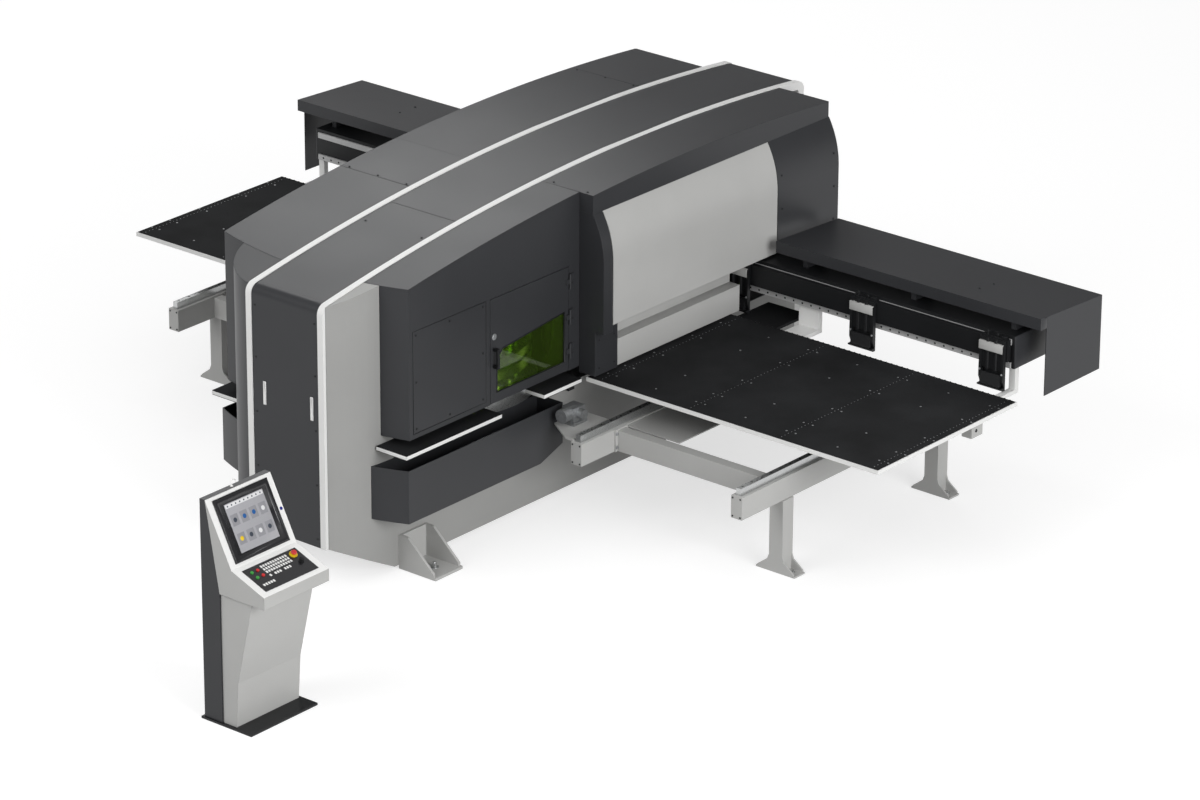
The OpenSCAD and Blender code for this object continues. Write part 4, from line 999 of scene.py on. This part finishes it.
def pale_floor(name):
    """Studio floor that shows white to the camera and in gloss and glass, and keeps its shadows"""
    finish, tree, shader = new_finish(name)
    shader.inputs["Base Color"].default_value = (0.45, 0.45, 0.45, 1)
    shader.inputs["Roughness"].default_value = 0.7
    shader.inputs["Specular IOR Level"].default_value = 0.0
    shader.inputs["Emission Color"].default_value = (1, 1, 1, 1)
    path = tree.nodes.new("ShaderNodeLightPath")
    seen = tree.nodes.new("ShaderNodeMath")
    seen.operation = "ADD"
    glow = tree.nodes.new("ShaderNodeMath")
    glow.operation = "ADD"
    share = tree.nodes.new("ShaderNodeMath")
    share.operation = "MULTIPLY"
    share.inputs[1].default_value = 0.66
    glow.use_clamp = True
    tree.links.new(path.outputs["Is Camera Ray"], seen.inputs[0])
    tree.links.new(path.outputs["Is Glossy Ray"], seen.inputs[1])
    tree.links.new(seen.outputs["Value"], glow.inputs[0])
    tree.links.new(path.outputs["Is Transmission Ray"], glow.inputs[1])
    tree.links.new(glow.outputs["Value"], share.inputs[0])
    tree.links.new(share.outputs["Value"], shader.inputs["Emission Strength"])
    return finish


def studio_sky(name):
    """Dim studio with a low white wall all round and a paler ceiling"""
    world = bpy.data.worlds.new(name)
    world.use_nodes = True
    tree = world.node_tree
    sky = tree.nodes["Background"]
    place = tree.nodes.new("ShaderNodeTexCoord")
    parts = tree.nodes.new("ShaderNodeSeparateXYZ")
    ramp = tree.nodes.new("ShaderNodeValToRGB")
    steps = ((0.0, 1.0), (0.02, 1.0), (0.04, 0.15), (0.3, 0.17), (0.62, 0.44), (1.0, 0.6))
    while len(ramp.color_ramp.elements) < len(steps):
        ramp.color_ramp.elements.new(0.5)
    for element, (place_at, level) in zip(ramp.color_ramp.elements, steps):
        element.position = place_at
        element.color = (level, level, level, 1)
    tree.links.new(place.outputs["Generated"], parts.inputs["Vector"])
    tree.links.new(parts.outputs["Z"], ramp.inputs["Fac"])
    tree.links.new(ramp.outputs["Color"], sky.inputs["Color"])
    return world


def soft_lamp(name, power, size, place, target):
    """A large area lamp that looks at a point"""
    light = bpy.data.lights.new(name, "AREA")
    light.energy = power
    light.size = size
    lamp = bpy.data.objects.new(name, light)
    bpy.context.scene.collection.objects.link(lamp)
    lamp.location = place
    lamp.rotation_euler = (Vector(target) - lamp.location).to_track_quat("-Z", "Y").to_euler()
    return lamp


class MACHINE_OT_stage(bpy.types.Operator):
    """Pale floor, soft light and the camera"""
    bl_idname = "machine.stage"
    bl_label = "Stage"

    def execute(self, context):
        scene = context.scene
        stage = scene.machine_stage
        bpy.ops.object.select_all(action="DESELECT")
        bpy.ops.mesh.primitive_plane_add(size=160, location=(0, 0, -0.001))
        floor = bpy.context.object
        floor.name = "studio_floor"
        put_finish(floor, pale_floor("Pale floor"))
        scene.world = studio_sky("Studio")
        middle = (0, 0, 1)
        soft_lamp("Key", stage.key_power, size=12, place=(-3, -15, 11), target=middle)
        soft_lamp("Fill", stage.fill_power, size=10, place=(18, -5, 6.5), target=middle)
        soft_lamp("Sheen", stage.sheen_power, size=6.5, place=(-11.2, 8.8, 11.9), target=(0, -1.5, 2))

        level = math.cos(stage.pitch)
        back = Vector((math.sin(stage.yaw) * level, -math.cos(stage.yaw) * level, math.sin(stage.pitch)))
        right = Vector((math.cos(stage.yaw), math.sin(stage.yaw), 0))
        up = back.cross(right)
        turned_right = right * math.cos(stage.roll) + up * math.sin(stage.roll)
        turned_up = up * math.cos(stage.roll) - right * math.sin(stage.roll)
        camera = bpy.data.cameras.new("Camera")
        camera.sensor_fit = "HORIZONTAL"
        camera.sensor_width = 36
        camera.lens = stage.lens
        camera.clip_end = 300
        view = bpy.data.objects.new("Camera", camera)
        scene.collection.objects.link(view)
        turn = Matrix((turned_right, turned_up, back)).transposed().to_4x4()
        view.matrix_world = Matrix.Translation(stage.camera_place) @ turn
        scene.camera = view
        scene.view_settings.view_transform = "Standard"
        return {"FINISHED"}


# Panel and registration

class MACHINE_PT_panel(bpy.types.Panel):
    """Lists the steps in the sidebar"""
    bl_idname = "MACHINE_PT_panel"
    bl_label = "Machine"
    bl_space_type = "VIEW_3D"
    bl_region_type = "UI"
    bl_category = "Machine"

    def draw(self, context):
        for step in STEPS:
            self.layout.operator(step.bl_idname)


STEPS = (
    MACHINE_OT_stage,
    MACHINE_OT_finishes,
    MACHINE_OT_fasteners,
    MACHINE_OT_nose_grips,
    MACHINE_OT_roof_seams,
    MACHINE_OT_grilles,
    MACHINE_OT_door_trim,
    MACHINE_OT_guards,
    MACHINE_OT_console,
    MACHINE_OT_tables,
    MACHINE_OT_carriage,
)
CLASSES = (MachineColours, MachineTrim, MachineStage, *STEPS, MACHINE_PT_panel)


def register():
    for part in CLASSES:
        bpy.utils.register_class(part)
    bpy.types.Scene.machine_colours = bpy.props.PointerProperty(type=MachineColours)
    bpy.types.Scene.machine_trim = bpy.props.PointerProperty(type=MachineTrim)
    bpy.types.Scene.machine_stage = bpy.props.PointerProperty(type=MachineStage)


def unregister():
    del bpy.types.Scene.machine_stage
    del bpy.types.Scene.machine_trim
    del bpy.types.Scene.machine_colours
    for part in reversed(CLASSES):
        bpy.utils.unregister_class(part)


def main():
    register()
    for step in STEPS:
        group, name = step.bl_idname.split(".")
        getattr(getattr(bpy.ops, group), name)()


if __name__ == "__main__":
    main()
